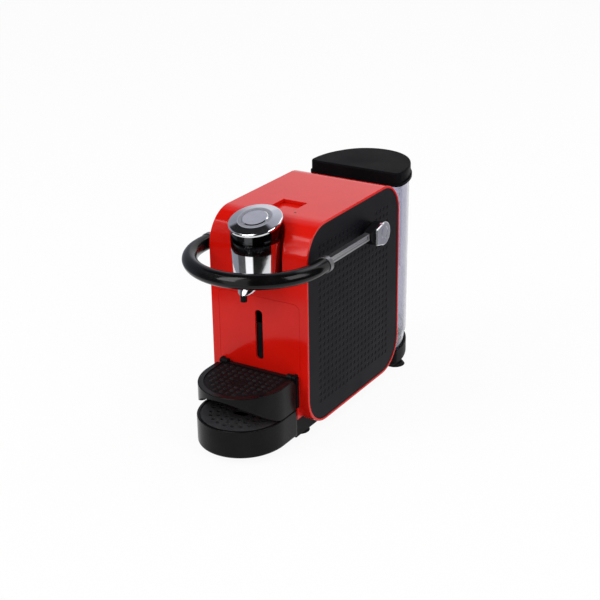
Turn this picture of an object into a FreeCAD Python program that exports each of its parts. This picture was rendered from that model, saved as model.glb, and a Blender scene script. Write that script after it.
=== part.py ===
# Capsule espresso machine, millimetres, +Z up, +Y to the rear.
# The origin is on the table under the middle of the machine.
import FreeCAD, Part
import math
import os
import Sketcher

doc = FreeCAD.newDocument("espresso_machine")
sheet = doc.addObject("Spreadsheet::Sheet", "sizes")
pieces = []


class Size:
    """A number together with the sheet expression it comes from."""

    def __init__(self, value, text):
        self.value = value
        self.text = text

    def __add__(self, other):
        other = as_size(other)
        return Size(self.value + other.value, f"({self.text} + {other.text})")

    def __sub__(self, other):
        other = as_size(other)
        return Size(self.value - other.value, f"({self.text} - {other.text})")

    def __mul__(self, other):
        other = as_size(other)
        return Size(self.value * other.value, f"({self.text} * {other.text})")

    def __truediv__(self, other):
        other = as_size(other)
        return Size(self.value / other.value, f"({self.text} / {other.text})")

    def __neg__(self):
        return as_size(0) - self

    def __radd__(self, other):
        return as_size(other) + self

    def __rsub__(self, other):
        return as_size(other) - self

    def __rmul__(self, other):
        return as_size(other) * self


def as_size(number):
    return number if isinstance(number, Size) else Size(float(number), f"({number:g})")


def size(alias, value):
    row = len(sheet.getUsedCells()) // 2 + 1
    sheet.set(f"A{row}", alias)
    sheet.set(f"B{row}", str(value))
    sheet.setAlias(f"B{row}", alias)
    return Size(value, f"sizes.{alias}")


def sine(angle):
    return Size(math.sin(math.radians(angle.value)), f"sin({angle.text} * 1 deg)")


def cosine(angle):
    return Size(math.cos(math.radians(angle.value)), f"cos({angle.text} * 1 deg)")


# Body shell: a wide band with rounded corners, open at both sides
body_width = size("body_width", 120)
body_depth = size("body_depth", 201)
body_height = size("body_height", 226)
body_lift = size("body_lift", 12)
body_corner = size("body_corner", 37)
shell_wall = size("shell_wall", 2.5)
panel_thickness = size("panel_thickness", 3)
panel_inset = size("panel_inset", 0.5)
panel_gap = size("panel_gap", 0.15)
rim_round = size("rim_round", 0.8)

# Base, tank seat and feet
base_width = size("base_width", 92)
base_reach = size("base_reach", 3)
base_top = size("base_top", 23)
tongue_width = size("tongue_width", 44)
tongue_length = size("tongue_length", 57)
foot_radius = size("foot_radius", 12)
foot_neck = size("foot_neck", 9.6)
foot_height = size("foot_height", 3)
front_foot_spread = size("front_foot_spread", 70)
front_foot_setback = size("front_foot_setback", 20)
rear_foot_spread = size("rear_foot_spread", 94)
rear_foot_overhang = size("rear_foot_overhang", 18)
seat_wall = size("seat_wall", 2)
seat_gap = size("seat_gap", 0.6)
seat_floor = size("seat_floor", 8)
seat_lip = size("seat_lip", 11)
seat_round = size("seat_round", 4)

# Water tank and lid
tank_gap = size("tank_gap", 2)
tank_width = size("tank_width", 110.2)
tank_depth = size("tank_depth", 76.6)
tank_flare = size("tank_flare", 1.6)
tank_straight = size("tank_straight", 8)
tank_flank = size("tank_flank", 14)
tank_corner = size("tank_corner", 6)
tank_height = size("tank_height", 227.3)
tank_wall = size("tank_wall", 2.2)
tank_floor = size("tank_floor", 2.6)
tank_step = size("tank_step", 27)
tank_step_inset = size("tank_step_inset", 2.2)
rest_gap = size("rest_gap", 0.3)
lid_gap = size("lid_gap", 0.3)
lid_skirt = size("lid_skirt", 0.9)
lid_plate = size("lid_plate", 3)
lid_drop = size("lid_drop", 12.2)
lid_bead = size("lid_bead", 1.5)
lid_bead_height = size("lid_bead_height", 3)
lid_round = size("lid_round", 2)
outlet_setback = size("outlet_setback", 24)
outlet_radius = size("outlet_radius", 7)
outlet_bore = size("outlet_bore", 4.6)
outlet_drop = size("outlet_drop", 4)
socket_radius = size("socket_radius", 12)
socket_port_radius = size("socket_port_radius", 1.8)
socket_base = size("socket_base", 2)
plunger_gap = size("plunger_gap", 0.5)
plunger_head = size("plunger_head", 6.2)
plunger_head_height = size("plunger_head_height", 2.5)

# Drip tray and drip grid
tray_width = size("tray_width", 98)
tray_depth = size("tray_depth", 80.9)
tray_nose = size("tray_nose", 4.2)
tray_flank = size("tray_flank", 11)
tray_corner = size("tray_corner", 4)
tray_top = size("tray_top", 38)
tray_lift = size("tray_lift", 3.6)
tray_wall = size("tray_wall", 2.9)
tray_floor = size("tray_floor", 2.5)
tray_edge_round = size("tray_edge_round", 3)
tray_rim_round = size("tray_rim_round", 0.8)
tray_gap = size("tray_gap", 0.3)
grid_ledge = size("grid_ledge", 2.2)
grid_thickness = size("grid_thickness", 3)
grid_gap = size("grid_gap", 0.5)
grid_sink = size("grid_sink", 1)
grid_hole_radius = size("grid_hole_radius", 2.3)
grid_ring_radius = size("grid_ring_radius", 16.6)
grid_ring_pitch = size("grid_ring_pitch", 7.7)
grid_hole_pitch = size("grid_hole_pitch", 9)
grid_hole_margin = size("grid_hole_margin", 8)
grid_drain_length = size("grid_drain_length", 18)
grid_drain_width = size("grid_drain_width", 12)
grid_drain_setback = size("grid_drain_setback", 34.5)

# Front cover and capsule bin
cover_width = size("cover_width", 100)
cover_bottom = size("cover_bottom", 50)
cover_drop = size("cover_drop", 21.5)
cover_corner = size("cover_corner", 7)
cover_gap = size("cover_gap", 0.3)
view_slot_width = size("view_slot_width", 9.4)
view_slot_bottom = size("view_slot_bottom", 83.3)
view_slot_height = size("view_slot_height", 57)
view_slot_corner = size("view_slot_corner", 4.6)
bin_width = size("bin_width", 84)
bin_depth = size("bin_depth", 88)
bin_height = size("bin_height", 72)
bin_wall = size("bin_wall", 2)
bin_rise = size("bin_rise", 3)

# Folding cup shelf
shelf_width = size("shelf_width", 97)
shelf_depth = size("shelf_depth", 79.4)
shelf_nose = size("shelf_nose", 3.9)
shelf_flank = size("shelf_flank", 9.5)
shelf_corner = size("shelf_corner", 3)
shelf_top = size("shelf_top", 74)
shelf_skirt_gap = size("shelf_skirt_gap", 1)
shelf_wall = size("shelf_wall", 2.5)
shelf_plate = size("shelf_plate", 2.5)
shelf_rim = size("shelf_rim", 6)
shelf_edge_round = size("shelf_edge_round", 0.8)
skirt_setback = size("skirt_setback", 6.5)
shelf_gap = size("shelf_gap", 1.2)
arch_flank = size("arch_flank", 4.9)
arch_crown = size("arch_crown", 5)
mat_thickness = size("mat_thickness", 2)
mat_sink = size("mat_sink", 1)
mat_gap = size("mat_gap", 0.3)
hinge_setback = size("hinge_setback", 4.5)
ear_radius = size("ear_radius", 3.5)
ear_length = size("ear_length", 6.2)
bracket_inset = size("bracket_inset", 4.5)
bracket_thickness = size("bracket_thickness", 3.5)
bracket_half_height = size("bracket_half_height", 2.8)
bracket_depth = size("bracket_depth", 5)
hinge_side_gap = size("hinge_side_gap", 0.3)
hinge_swing_gap = size("hinge_swing_gap", 0.7)
pin_radius = size("pin_radius", 1.5)
pin_clearance = size("pin_clearance", 0.06)

# Brew head
head_reach = size("head_reach", 1.5)
channel_radius = size("channel_radius", 29.5)
channel_reach = size("channel_reach", 1.5)
sleeve_drop = size("sleeve_drop", 33.25)
channel_wall = size("channel_wall", 5)
channel_lip = size("channel_lip", 3)
sleeve_radius = size("sleeve_radius", 26)
sleeve_taper = size("sleeve_taper", 1.8)
sleeve_wall = size("sleeve_wall", 1.6)
band_step = size("band_step", 0.2)
band_wall = size("band_wall", 3)
band_drop = size("band_drop", 31)
band_groove_rise = size("band_groove_rise", 14.5)
band_groove_width = size("band_groove_width", 0.8)
band_groove_depth = size("band_groove_depth", 0.6)
cap_radius = size("cap_radius", 28.8)
cap_face_radius = size("cap_face_radius", 18.8)
cap_under_radius = size("cap_under_radius", 28.4)
cap_rise = size("cap_rise", 3.25)
cap_reach = size("cap_reach", 1.1)
cap_tilt = size("cap_tilt", 16)
cap_under = size("cap_under", 7)
cap_edge = size("cap_edge", 3.2)
cap_plug_wall = size("cap_plug_wall", 1.7)
cap_face = size("cap_face", 2)
cap_round = size("cap_round", 1.6)
ring_radius = size("ring_radius", 17.8)
ring_width = size("ring_width", 3.4)
ring_depth = size("ring_depth", 2.4)
button_gap = size("button_gap", 0.3)
button_crown = size("button_crown", 0.6)
button_depth = size("button_depth", 3)
spout_reach = size("spout_reach", 13.5)
spout_radius = size("spout_radius", 13)
spout_waist = size("spout_waist", 10.3)
spout_waist_reach = size("spout_waist_reach", 18.75)
spout_waist_rise = size("spout_waist_rise", 2.9)
nozzle_reach = size("nozzle_reach", 26.5)
nozzle_radius = size("nozzle_radius", 3.6)
nozzle_bore = size("nozzle_bore", 2)
spout_drop = size("spout_drop", 9.4)
nozzle_length = size("nozzle_length", 7.6)
spout_lip = size("spout_lip", 0.8)

# Handle
handle_stand = size("handle_stand", 11.5)
pivot_rise = size("pivot_rise", 15.5)
pivot_setback = size("pivot_setback", 130.5)
grip_radius = size("grip_radius", 8.2)
grip_bend_setback = size("grip_bend_setback", 4)
grip_straight = size("grip_straight", 10)
collar_length = size("collar_length", 6)
collar_taper = size("collar_taper", 4)
collar_step = size("collar_step", 0.7)
arm_thickness = size("arm_thickness", 6)
arm_depth = size("arm_depth", 7.8)
arm_groove = size("arm_groove", 0.6)
arm_rise = size("arm_rise", 1.8)
hub_radius = size("hub_radius", 13)
hub_nose = size("hub_nose", 17.2)
hub_nose_depth = size("hub_nose_depth", 18.2)
hub_drop = size("hub_drop", 1.3)
hub_neck = size("hub_neck", 7.3)
hub_thickness = size("hub_thickness", 9.4)
hub_plate = size("hub_plate", 3.6)
hub_plate_margin = size("hub_plate_margin", 0.8)
hub_ring_radius = size("hub_ring_radius", 7)
hub_ring_width = size("hub_ring_width", 0.8)
hub_ring_depth = size("hub_ring_depth", 0.4)
hub_gap = size("hub_gap", 0.4)
hub_round = size("hub_round", 1.2)
bush_radius = size("bush_radius", 9)
bush_stand = size("bush_stand", 6.3)
axle_radius = size("axle_radius", 5)
axle_clearance = size("axle_clearance", 0.06)
axle_seat = size("axle_seat", 6.6)
crank_radius = size("crank_radius", 18.3)
crank_swing = size("crank_swing", 41)
crank_spread = size("crank_spread", 16)
crank_thickness = size("crank_thickness", 4)
crank_boss = size("crank_boss", 8)
crank_pin = size("crank_pin", 2.5)
crank_web = size("crank_web", 4)

# Capsule slot, shutter and brew unit
slot_width = size("slot_width", 30)
slot_setback = size("slot_setback", 49)
slot_length = size("slot_length", 28)
shutter_lap = size("shutter_lap", 2.5)
slot_depth = size("slot_depth", 4)
slot_collar = size("slot_collar", 2)
shutter_thickness = size("shutter_thickness", 2.6)
shutter_gap = size("shutter_gap", 0.3)
guide_wall = size("guide_wall", 3)
lens_radius = size("lens_radius", 1.2)
lens_offset = size("lens_offset", 19)
lens_setback = size("lens_setback", 45.7)
frame_width = size("frame_width", 62)
frame_setback = size("frame_setback", 44)
frame_depth = size("frame_depth", 75)
frame_drop = size("frame_drop", 27)
frame_height = size("frame_height", 55)
frame_wall = size("frame_wall", 3)
brew_drop = size("brew_drop", 54)
plate_radius = size("plate_radius", 20)
plate_thickness = size("plate_thickness", 4)
cage_radius = size("cage_radius", 21)
cage_bore = size("cage_bore", 18)
cage_length = size("cage_length", 36)
cage_pocket = size("cage_pocket", 28)
cage_gap = size("cage_gap", 0.4)
fin_length = size("fin_length", 17)
fin_thickness = size("fin_thickness", 6)
fin_gap = size("fin_gap", 0.3)
drawbar_width = size("drawbar_width", 12)
drawbar_thickness = size("drawbar_thickness", 4)
drawbar_clearance = size("drawbar_clearance", 2)
yoke_wall = size("yoke_wall", 3)
yoke_play = size("yoke_play", 0.9)
yoke_height = size("yoke_height", 15)
notch_width = size("notch_width", 30)
notch_drop = size("notch_drop", 9)
duct_radius = size("duct_radius", 6)
duct_bore = size("duct_bore", 4)
duct_entry = size("duct_entry", 3)
duct_gap = size("duct_gap", 0.1)

# Water works and electrics
inner_thickness = size("inner_thickness", 4)
inner_setback = size("inner_setback", 98)
inner_depth = size("inner_depth", 64)
pump_yoke = size("pump_yoke", 36)
pump_yoke_depth = size("pump_yoke_depth", 30)
pump_radius = size("pump_radius", 12)
pump_length = size("pump_length", 60)
pump_height = size("pump_height", 46)
meter_radius = size("meter_radius", 13)
meter_width = size("meter_width", 20)
heater_width = size("heater_width", 38)
heater_depth = size("heater_depth", 56)
heater_height = size("heater_height", 50)
heater_bottom = size("heater_bottom", 90)
board_stand = size("board_stand", 8)
board_thickness = size("board_thickness", 1.6)
board_depth = size("board_depth", 56)
board_height = size("board_height", 60)
board_bottom = size("board_bottom", 85)
post_radius = size("post_radius", 3)
relay_side = size("relay_side", 16)
hose_radius = size("hose_radius", 3.5)
hose_bend = size("hose_bend", 5)
hose_channel = size("hose_channel", 12)
hose_hole_gap = size("hose_hole_gap", 0.3)
screw_head_radius = size("screw_head_radius", 3.5)
screw_head_height = size("screw_head_height", 2)
screw_radius = size("screw_radius", 1.7)
screw_length = size("screw_length", 16)
screw_spread = size("screw_spread", 76)
screw_first = size("screw_first", 60)
screw_pitch = size("screw_pitch", 90)
boss_radius = size("boss_radius", 4.4)
under_gap = size("under_gap", 1)
gland_radius = size("gland_radius", 4)
gland_bore = size("gland_bore", 2.6)
gland_length = size("gland_length", 8)
gland_setback = size("gland_setback", 180)

# Places worked out from the sizes above
half_body = body_width / 2
body_top = body_lift + body_height
cap_height = body_top + cap_rise
band_split_height = cap_height - band_drop
channel_floor = band_split_height - sleeve_drop
nozzle_top = channel_floor - spout_drop
nozzle_tip = nozzle_top - nozzle_length
cover_top = channel_floor - cover_drop
brew_height = body_top - brew_drop
handle_height = brew_height + pivot_rise
frame_bottom = brew_height - frame_drop
shell_floor = body_lift + shell_wall
base_bottom = foot_height
tray_bottom = base_bottom + tray_lift
seat_level = base_bottom + seat_floor
tank_front = body_depth + tank_gap
tank_level = seat_level + rest_gap
tank_brim = tank_level + tank_height
rear_reach = tank_front + tank_depth + tank_flare + lid_gap + lid_skirt + lid_bead
front_reach = base_reach + tray_gap + tray_depth
front = (front_reach - rear_reach) / 2
hinge_y = front - hinge_setback
tank_side_radius = tank_depth - tank_straight + tank_flank
tray_side_radius = tray_width / 2 + tray_flank
tray_straight = tray_depth - tray_width / 2 - tray_nose
shelf_side_radius = shelf_width / 2 + shelf_flank
shelf_straight = shelf_depth - shelf_width / 2 - shelf_nose
arch_radius = shelf_width / 2 + arch_flank
pivot_y = front + pivot_setback
handle_x = half_body + handle_stand
hub_inner = half_body - panel_inset + bush_stand + hub_gap
cover_back = front + shell_wall
cage_front = front + frame_setback + frame_wall + plate_thickness + cage_gap
outlet_y = front + tank_front + outlet_setback


def bind(item, **expressions):
    for path, value in expressions.items():
        item.setExpression(path.replace("_dot_", "."), value.text)


def place(item, x=0, y=0, z=0):
    bind(item, Placement_dot_Base_dot_x=as_size(x), Placement_dot_Base_dot_y=as_size(y),
         Placement_dot_Base_dot_z=as_size(z))
    return item


def box(name, x, y, z):
    item = doc.addObject("Part::Box", name)
    bind(item, Length=x[1] - x[0], Width=y[1] - y[0], Height=z[1] - z[0])
    return place(item, x[0], y[0], z[0])


def rod(name, along, radius, span, across):
    """Cylinder along x, y or z over a span, centred on the other two coordinates."""
    item = doc.addObject("Part::Cylinder", name)
    bind(item, Radius=radius, Height=span[1] - span[0])
    return lay(item, along, span[0], across)


def cone(name, along, start_radius, end_radius, span, across):
    item = doc.addObject("Part::Cone", name)
    bind(item, Radius1=start_radius, Radius2=end_radius, Height=span[1] - span[0])
    return lay(item, along, span[0], across)


def lay(item, along, start, across):
    turns = {"x": (FreeCAD.Vector(0, 1, 0), 90), "y": (FreeCAD.Vector(1, 0, 0), -90),
             "z": (FreeCAD.Vector(0, 0, 1), 0)}
    item.Placement = FreeCAD.Placement(FreeCAD.Vector(), FreeCAD.Rotation(*turns[along]))
    others = [axis for axis in "xyz" if axis != along]
    spots = {along: start, others[0]: across[0], others[1]: across[1]}
    return place(item, **spots)


def fuse(name, *items):
    item = doc.addObject("Part::MultiFuse", name)
    item.Shapes = list(items)
    return item


def cut(name, base, *tools):
    item = doc.addObject("Part::Cut", name)
    item.Base = base
    item.Tool = tools[0] if len(tools) == 1 else fuse(name + "_tools", *tools)
    return item


def common(name, first, second):
    item = doc.addObject("Part::Common", name)
    item.Base = first
    item.Tool = second
    return item


def round_edges(name, base, *choices):
    """Fillet the edges of base; each choice is a radius and a test that picks its edges."""
    doc.recompute()
    item = doc.addObject("Part::Fillet", name)
    item.Base = base
    item.Edges = [(number, radius.value, radius.value) for radius, chosen in choices
                  for number, edge in enumerate(base.Shape.Edges, 1) if chosen(edge)]
    return item


def at_bottom(level):
    return lambda edge: edge.BoundBox.ZMax < level.value + near


def at_top(level):
    return lambda edge: edge.BoundBox.ZMin > level.value - near


def new_sketch(body, role, name):
    plane = next(feature for feature in body.Origin.OriginFeatures if feature.Role == role)
    sketch = body.newObject("Sketcher::SketchObject", name)
    sketch.AttachmentSupport = (plane, [""])
    sketch.MapMode = "FlatFace"
    return sketch


def line(x0, y0, x1, y1):
    return Part.LineSegment(FreeCAD.Vector(x0, y0, 0), FreeCAD.Vector(x1, y1, 0))


def arc(x, y, radius, start, end):
    circle = Part.Circle(FreeCAD.Vector(x, y, 0), FreeCAD.Vector(0, 0, 1), radius)
    return Part.ArcOfCircle(circle, math.radians(start), math.radians(end))


def dimension(sketch, name, value, *where):
    number = sketch.addConstraint(Sketcher.Constraint(*where, value.value))
    sketch.renameConstraint(number, name)
    sketch.setExpression(".Constraints." + name, value.text)


def smooth_loop(sketch, edges):
    """Add edges that run on into each other all the way round."""
    for edge in edges:
        sketch.addGeometry(edge, False)
    for number in range(len(edges)):
        sketch.addConstraint(Sketcher.Constraint("Tangent", number, 2, (number + 1) % len(edges), 1))


def rounded_sketch(body, role, name, u, v, corner):
    """Rounded rectangle over the spans u and v of an origin plane."""
    sketch = new_sketch(body, role, name)
    u0, u1, v0, v1, radius = (item.value for item in (*u, *v, corner))
    smooth_loop(sketch, [
        line(u0 + radius, v0, u1 - radius, v0), arc(u1 - radius, v0 + radius, radius, 270, 360),
        line(u1, v0 + radius, u1, v1 - radius), arc(u1 - radius, v1 - radius, radius, 0, 90),
        line(u1 - radius, v1, u0 + radius, v1), arc(u0 + radius, v1 - radius, radius, 90, 180),
        line(u0, v1 - radius, u0, v0 + radius), arc(u0 + radius, v0 + radius, radius, 180, 270)])
    for number in (0, 4):
        sketch.addConstraint(Sketcher.Constraint("Horizontal", number))
    for number in (2, 6):
        sketch.addConstraint(Sketcher.Constraint("Vertical", number))
    for number in (3, 5, 7):
        sketch.addConstraint(Sketcher.Constraint("Equal", 1, number))
    dimension(sketch, "corner", corner, "Radius", 1)
    dimension(sketch, "left", u[0], "DistanceX", -1, 1, 6, 1)
    dimension(sketch, "right", u[1], "DistanceX", -1, 1, 2, 1)
    dimension(sketch, "low", v[0], "DistanceY", -1, 1, 0, 1)
    dimension(sketch, "high", v[1], "DistanceY", -1, 1, 4, 1)
    return sketch


def pad(body, sketch, name, length):
    item = body.newObject("PartDesign::Pad", name)
    item.Profile = sketch
    bind(item, Length=length)
    return item


def raised(sketch, z):
    """Lift a level sketch to a height above its plane."""
    sketch.AttachmentOffset = FreeCAD.Placement(FreeCAD.Vector(0, 0, z.value), FreeCAD.Rotation())
    sketch.setExpression("AttachmentOffset.Base.z", z.text)
    return sketch


def loft(body, name, lowest, *others):
    item = body.newObject("PartDesign::AdditiveLoft", name)
    item.Profile = lowest
    item.Sections = list(others)
    return item


def side_prism(name, x, y, z, corner):
    """Rounded rectangle seen from the side, padded along x."""
    body = doc.addObject("PartDesign::Body", name)
    pad(body, rounded_sketch(body, "YZ_Plane", name + "_outline", y, z, corner), name + "_pad", x[1] - x[0])
    return place(body, x[0])


def arch_sketch(body, name, half, straight, depth, side, corner):
    """D outline: flat back on the X axis, straight sides, then side arcs and a nose arc."""
    sketch = new_sketch(body, "XY_Plane", name)
    reach = depth - straight
    offset = side - half
    drop = (offset * offset - (side - reach) * (side - reach)) / (2 * (side - reach))
    nose = reach - drop
    w, s, k, r_side, r_nose, r_corner, c = (
        item.value for item in (half, straight, drop, side, nose, corner, offset))
    turn = math.degrees(math.atan2(k, c))
    smooth_loop(sketch, [
        line(w - r_corner, 0, r_corner - w, 0), arc(r_corner - w, -r_corner, r_corner, 90, 180),
        line(-w, -r_corner, -w, -s), arc(c, -s, r_side, 180, 180 + turn),
        arc(0, -s - k, r_nose, 180 + turn, 360 - turn), arc(-c, -s, r_side, 360 - turn, 360),
        line(w, -s, w, -r_corner), arc(w - r_corner, -r_corner, r_corner, 0, 90)])
    sketch.addConstraint(Sketcher.Constraint("Symmetric", 0, 1, 0, 2, -2))
    sketch.addConstraint(Sketcher.Constraint("PointOnObject", 0, 1, -1))
    sketch.addConstraint(Sketcher.Constraint("PointOnObject", 4, 3, -2))
    sketch.addConstraint(Sketcher.Constraint("Vertical", 2))
    sketch.addConstraint(Sketcher.Constraint("Vertical", 6))
    sketch.addConstraint(Sketcher.Constraint("Equal", 1, 7))
    sketch.addConstraint(Sketcher.Constraint("Equal", 3, 5))
    dimension(sketch, "corner", corner, "Radius", 1)
    dimension(sketch, "side", side, "Radius", 3)
    dimension(sketch, "nose", nose, "Radius", 4)
    dimension(sketch, "width", 2 * half, "DistanceX", 2, 2, 6, 1)
    dimension(sketch, "straight", straight, "DistanceY", 2, 2, -1, 1)
    return sketch


class Arch:
    """D outline that can be drawn in or let out all round and padded over a height."""

    def __init__(self, width, depth, straight, side, corner, flat_y, rearward=False):
        self.half = width / 2
        self.depth = depth
        self.straight = straight
        self.side = side
        self.corner = corner
        self.flat_y = flat_y
        self.rearward = rearward

    def outline(self, body, name, inset, corner=None):
        return arch_sketch(body, name, self.half - inset, self.straight - inset, self.depth - 2 * inset,
                           self.side - inset, corner or self.corner - inset)

    def stand(self, body, inset, level):
        """Set a solid made from the outline in place, turned to the way the outline faces."""
        if self.rearward:
            body.Placement.Rotation = FreeCAD.Rotation(FreeCAD.Vector(0, 0, 1), 180)
            return place(body, 0, self.flat_y + inset, level)
        return place(body, 0, self.flat_y - inset, level)

    def prism(self, name, z, inset=0, corner=None):
        inset = as_size(inset)
        body = doc.addObject("PartDesign::Body", name)
        pad(body, self.outline(body, name + "_outline", inset, corner), name + "_pad", z[1] - z[0])
        return self.stand(body, inset, z[0])

    def flared(self, name, upper, z, inset=0):
        """Solid that runs from this outline up to a second one with the same flat side."""
        inset = as_size(inset)
        body = doc.addObject("PartDesign::Body", name)
        low = self.outline(body, name + "_low", inset)
        high = raised(upper.outline(body, name + "_high", inset), z[1] - z[0])
        loft(body, name + "_loft", low, high)
        return self.stand(body, inset, z[0])


def tilt(item, angle, x, y, z):
    """Lean an item towards the front about the X direction and set it in place."""
    bind(item, Placement_dot_Rotation_dot_Angle=angle)
    item.Placement = FreeCAD.Placement(
        FreeCAD.Vector(as_size(x).value, y.value, z.value), FreeCAD.Rotation(FreeCAD.Vector(1, 0, 0),
                                                                             angle.value))
    return place(item, x, y, z)


def piece(item, label):
    item.Label = label
    pieces.append(item)
    return item


def both_sides(make):
    for side, word in ((-1, "left"), (1, "right")):
        make(side, word)


def side_span(side, inner, outer):
    """Span along x on one side of the machine."""
    return (inner, outer) if side > 0 else (-outer, -inner)


def root_of(value):
    return Size(math.sqrt(value.value), f"sqrt({value.text})")


def polygon_sketch(body, role, name, points):
    """Closed polygon with every corner given from the origin of the plane."""
    sketch = new_sketch(body, role, name)
    count = len(points)
    for number in range(count):
        (u0, v0), (u1, v1) = points[number], points[(number + 1) % count]
        sketch.addGeometry(line(u0.value, v0.value, u1.value, v1.value), False)
    for number in range(count):
        sketch.addConstraint(Sketcher.Constraint("Coincident", number, 2, (number + 1) % count, 1))
    for number, (u, v) in enumerate(points):
        dimension(sketch, f"across{number}", u, "DistanceX", -1, 1, number, 1)
        dimension(sketch, f"along{number}", v, "DistanceY", -1, 1, number, 1)
    return sketch


def side_polygon(name, x, points):
    """Polygon of y and z corners padded along x."""
    body = doc.addObject("PartDesign::Body", name)
    pad(body, polygon_sketch(body, "YZ_Plane", name + "_outline", points), name + "_pad", x[1] - x[0])
    return place(body, x[0])


def front_prism(name, x, y, z, corner):
    """Rounded rectangle seen from the front, padded along y."""
    body = doc.addObject("PartDesign::Body", name)
    pad(body, rounded_sketch(body, "XZ_Plane", name + "_outline", x, z, corner), name + "_pad", y[1] - y[0])
    return place(body, 0, y[1], 0)


def turned(name, points):
    """Solid of revolution about the body's own Z axis from radius and height points."""
    body = doc.addObject("PartDesign::Body", name)
    spin = body.newObject("PartDesign::Revolution", name + "_turn")
    spin.Profile = polygon_sketch(body, "XZ_Plane", name + "_profile", points)
    spin.ReferenceAxis = (spin.Profile[0], ["V_Axis"])
    spin.Angle = 360
    body.Tip = spin
    return body


def oblique_cone(name, *rings):
    """Loft through level circles from the lowest up, each given by radius, y and z."""
    body = doc.addObject("PartDesign::Body", name)
    sketches = []
    for number, (radius, y, z) in enumerate(rings):
        sketch = raised(new_sketch(body, "XY_Plane", f"{name}_ring_{number}"), z)
        circle = Part.Circle(FreeCAD.Vector(0, y.value, 0), FreeCAD.Vector(0, 0, 1), radius.value)
        sketch.addGeometry(circle, False)
        sketch.addConstraint(Sketcher.Constraint("PointOnObject", 0, 3, -2))
        dimension(sketch, "radius", radius, "Radius", 0)
        dimension(sketch, "middle", y, "DistanceY", -1, 1, 0, 3)
        sketches.append(sketch)
    loft(body, name + "_loft", *sketches)
    return body


def hose(label, points):
    """Round hose along straight runs joined by bends of one radius."""
    spots = [FreeCAD.Vector(*(as_size(number).value for number in point)) for point in points]
    edges = []
    start = spots[0]
    for before, corner, after in zip(spots, spots[1:], spots[2:]):
        into = (corner - before).normalize()
        out = (after - corner).normalize()
        bend = hose_bend.value
        entry = corner - into * bend
        leave = corner + out * bend
        centre = corner + (out - into) * bend
        middle = centre + (corner - centre).normalize() * bend
        edges.append(Part.LineSegment(start, entry).toShape())
        edges.append(Part.Arc(entry, middle, leave).toShape())
        start = leave
    edges.append(Part.LineSegment(start, spots[-1]).toShape())
    ring = Part.makeCircle(hose_radius.value, spots[0], spots[1] - spots[0])
    item = doc.addObject("Part::Feature", label)
    item.Shape = Part.Wire(edges).makePipeShell([Part.Wire([ring])], True, False)
    return piece(item, label)


# Outlines shared by neighbouring parts
tank_arch = Arch(tank_width, tank_depth, tank_straight, tank_side_radius, tank_corner, front + tank_front,
                 True)
brim_arch = Arch(tank_width + 2 * tank_flare, tank_depth + tank_flare, tank_straight,
                 tank_side_radius + tank_flare, tank_corner, front + tank_front, True)
tray_arch = Arch(tray_width, tray_depth, tray_straight, tray_side_radius, tray_corner,
                 front - base_reach - tray_gap)
shelf_arch = Arch(shelf_width, shelf_depth, shelf_straight, shelf_side_radius, shelf_corner,
                  front - shelf_gap)
body_y = (front, front + body_depth)
body_z = (body_lift, body_top)
over = as_size(1)
zero = as_size(0)
near = 0.01


def inside_body(name, x, inset):
    """Rounded prism of the body outline drawn in by an inset."""
    return side_prism(name, x, (body_y[0] + inset, body_y[1] - inset),
                      (body_z[0] + inset, body_z[1] - inset),
                      body_corner - inset)


def body_block(name):
    return side_prism(name, (-half_body, half_body), body_y, body_z, body_corner)


# Base with the tray tongue, tank seat and the groove for the inlet hose
base_side = base_width / 2
screw_spots = [(side * screw_spread / 2, front + screw_first + step * screw_pitch)
               for side in (-1, 1) for step in (0, 1)]
seat_brim = seat_level + seat_lip
seat_inset = tank_step_inset - seat_gap
seat_space = tank_arch.prism("seat_space", (seat_level, seat_brim + over), seat_inset)
seat_block = tank_arch.prism("seat_block", (base_bottom, seat_brim), seat_inset - seat_wall)
seat_shell = round_edges("seat_shell", seat_block, (seat_round, at_bottom(base_bottom)))
base_block = box("base_block", (-base_side, base_side), (front - base_reach, front + body_depth),
                 (base_bottom, base_top))
base_rear = box("base_rear", (-base_side, base_side),
                (front + body_depth - over, front + tank_front + tank_straight),
                (base_bottom, seat_level))
tongue = box("tongue", (-tongue_width / 2, tongue_width / 2),
             (front - base_reach - tongue_length, front - base_reach + over),
             (base_bottom, tray_bottom - rest_gap))
hose_x = -hose_channel
hose_y = front + inner_setback + inner_depth - hose_channel
hose_floor = base_bottom + hose_radius + under_gap
groove = box("hose_groove", (hose_x - hose_channel / 2, hose_channel / 2),
             (hose_y - hose_channel / 2, outlet_y),
             (base_bottom - over, body_lift + over))
socket_bore = rod("socket_bore", "z", socket_radius, (base_bottom - over, seat_level + over), (0, outlet_y))
gland_z = base_bottom + gland_radius + under_gap
gland_hole = rod("gland_hole", "x", gland_radius, (-base_side - over, gland_length / 2 - base_side),
                 (front + gland_setback, gland_z))
screw_head_top = base_bottom + screw_head_height + under_gap
screw_wells = [rod(f"screw_well_{n}", "z", screw_head_radius + over / 2,
                   (base_bottom - over, screw_head_top), spot)
               for n, spot in enumerate(screw_spots)]
screw_holes = [rod(f"base_screw_hole_{n}", "z", screw_radius, (base_bottom, base_top), spot)
               for n, spot in enumerate(screw_spots)]
base_blank = cut("base_blank", fuse("base_bulk", base_block, base_rear, seat_shell),
                 body_block("base_saddle"),
                 seat_space, groove, socket_bore, gland_hole, *screw_wells, *screw_holes)
piece(fuse("base_all", base_blank, tongue), "chassis_base")

# Feet
for word, side_word, spot in (
        ("front", "left", (-front_foot_spread / 2, front + front_foot_setback)),
        ("front", "right", (front_foot_spread / 2, front + front_foot_setback)),
        ("rear", "left", (-rear_foot_spread / 2, front + body_depth + rear_foot_overhang)),
        ("rear", "right", (rear_foot_spread / 2, front + body_depth + rear_foot_overhang))):
    foot = f"foot_{word}_{side_word}"
    piece(cone(foot, "z", foot_radius, foot_neck, (zero, foot_height), spot), foot)

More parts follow.
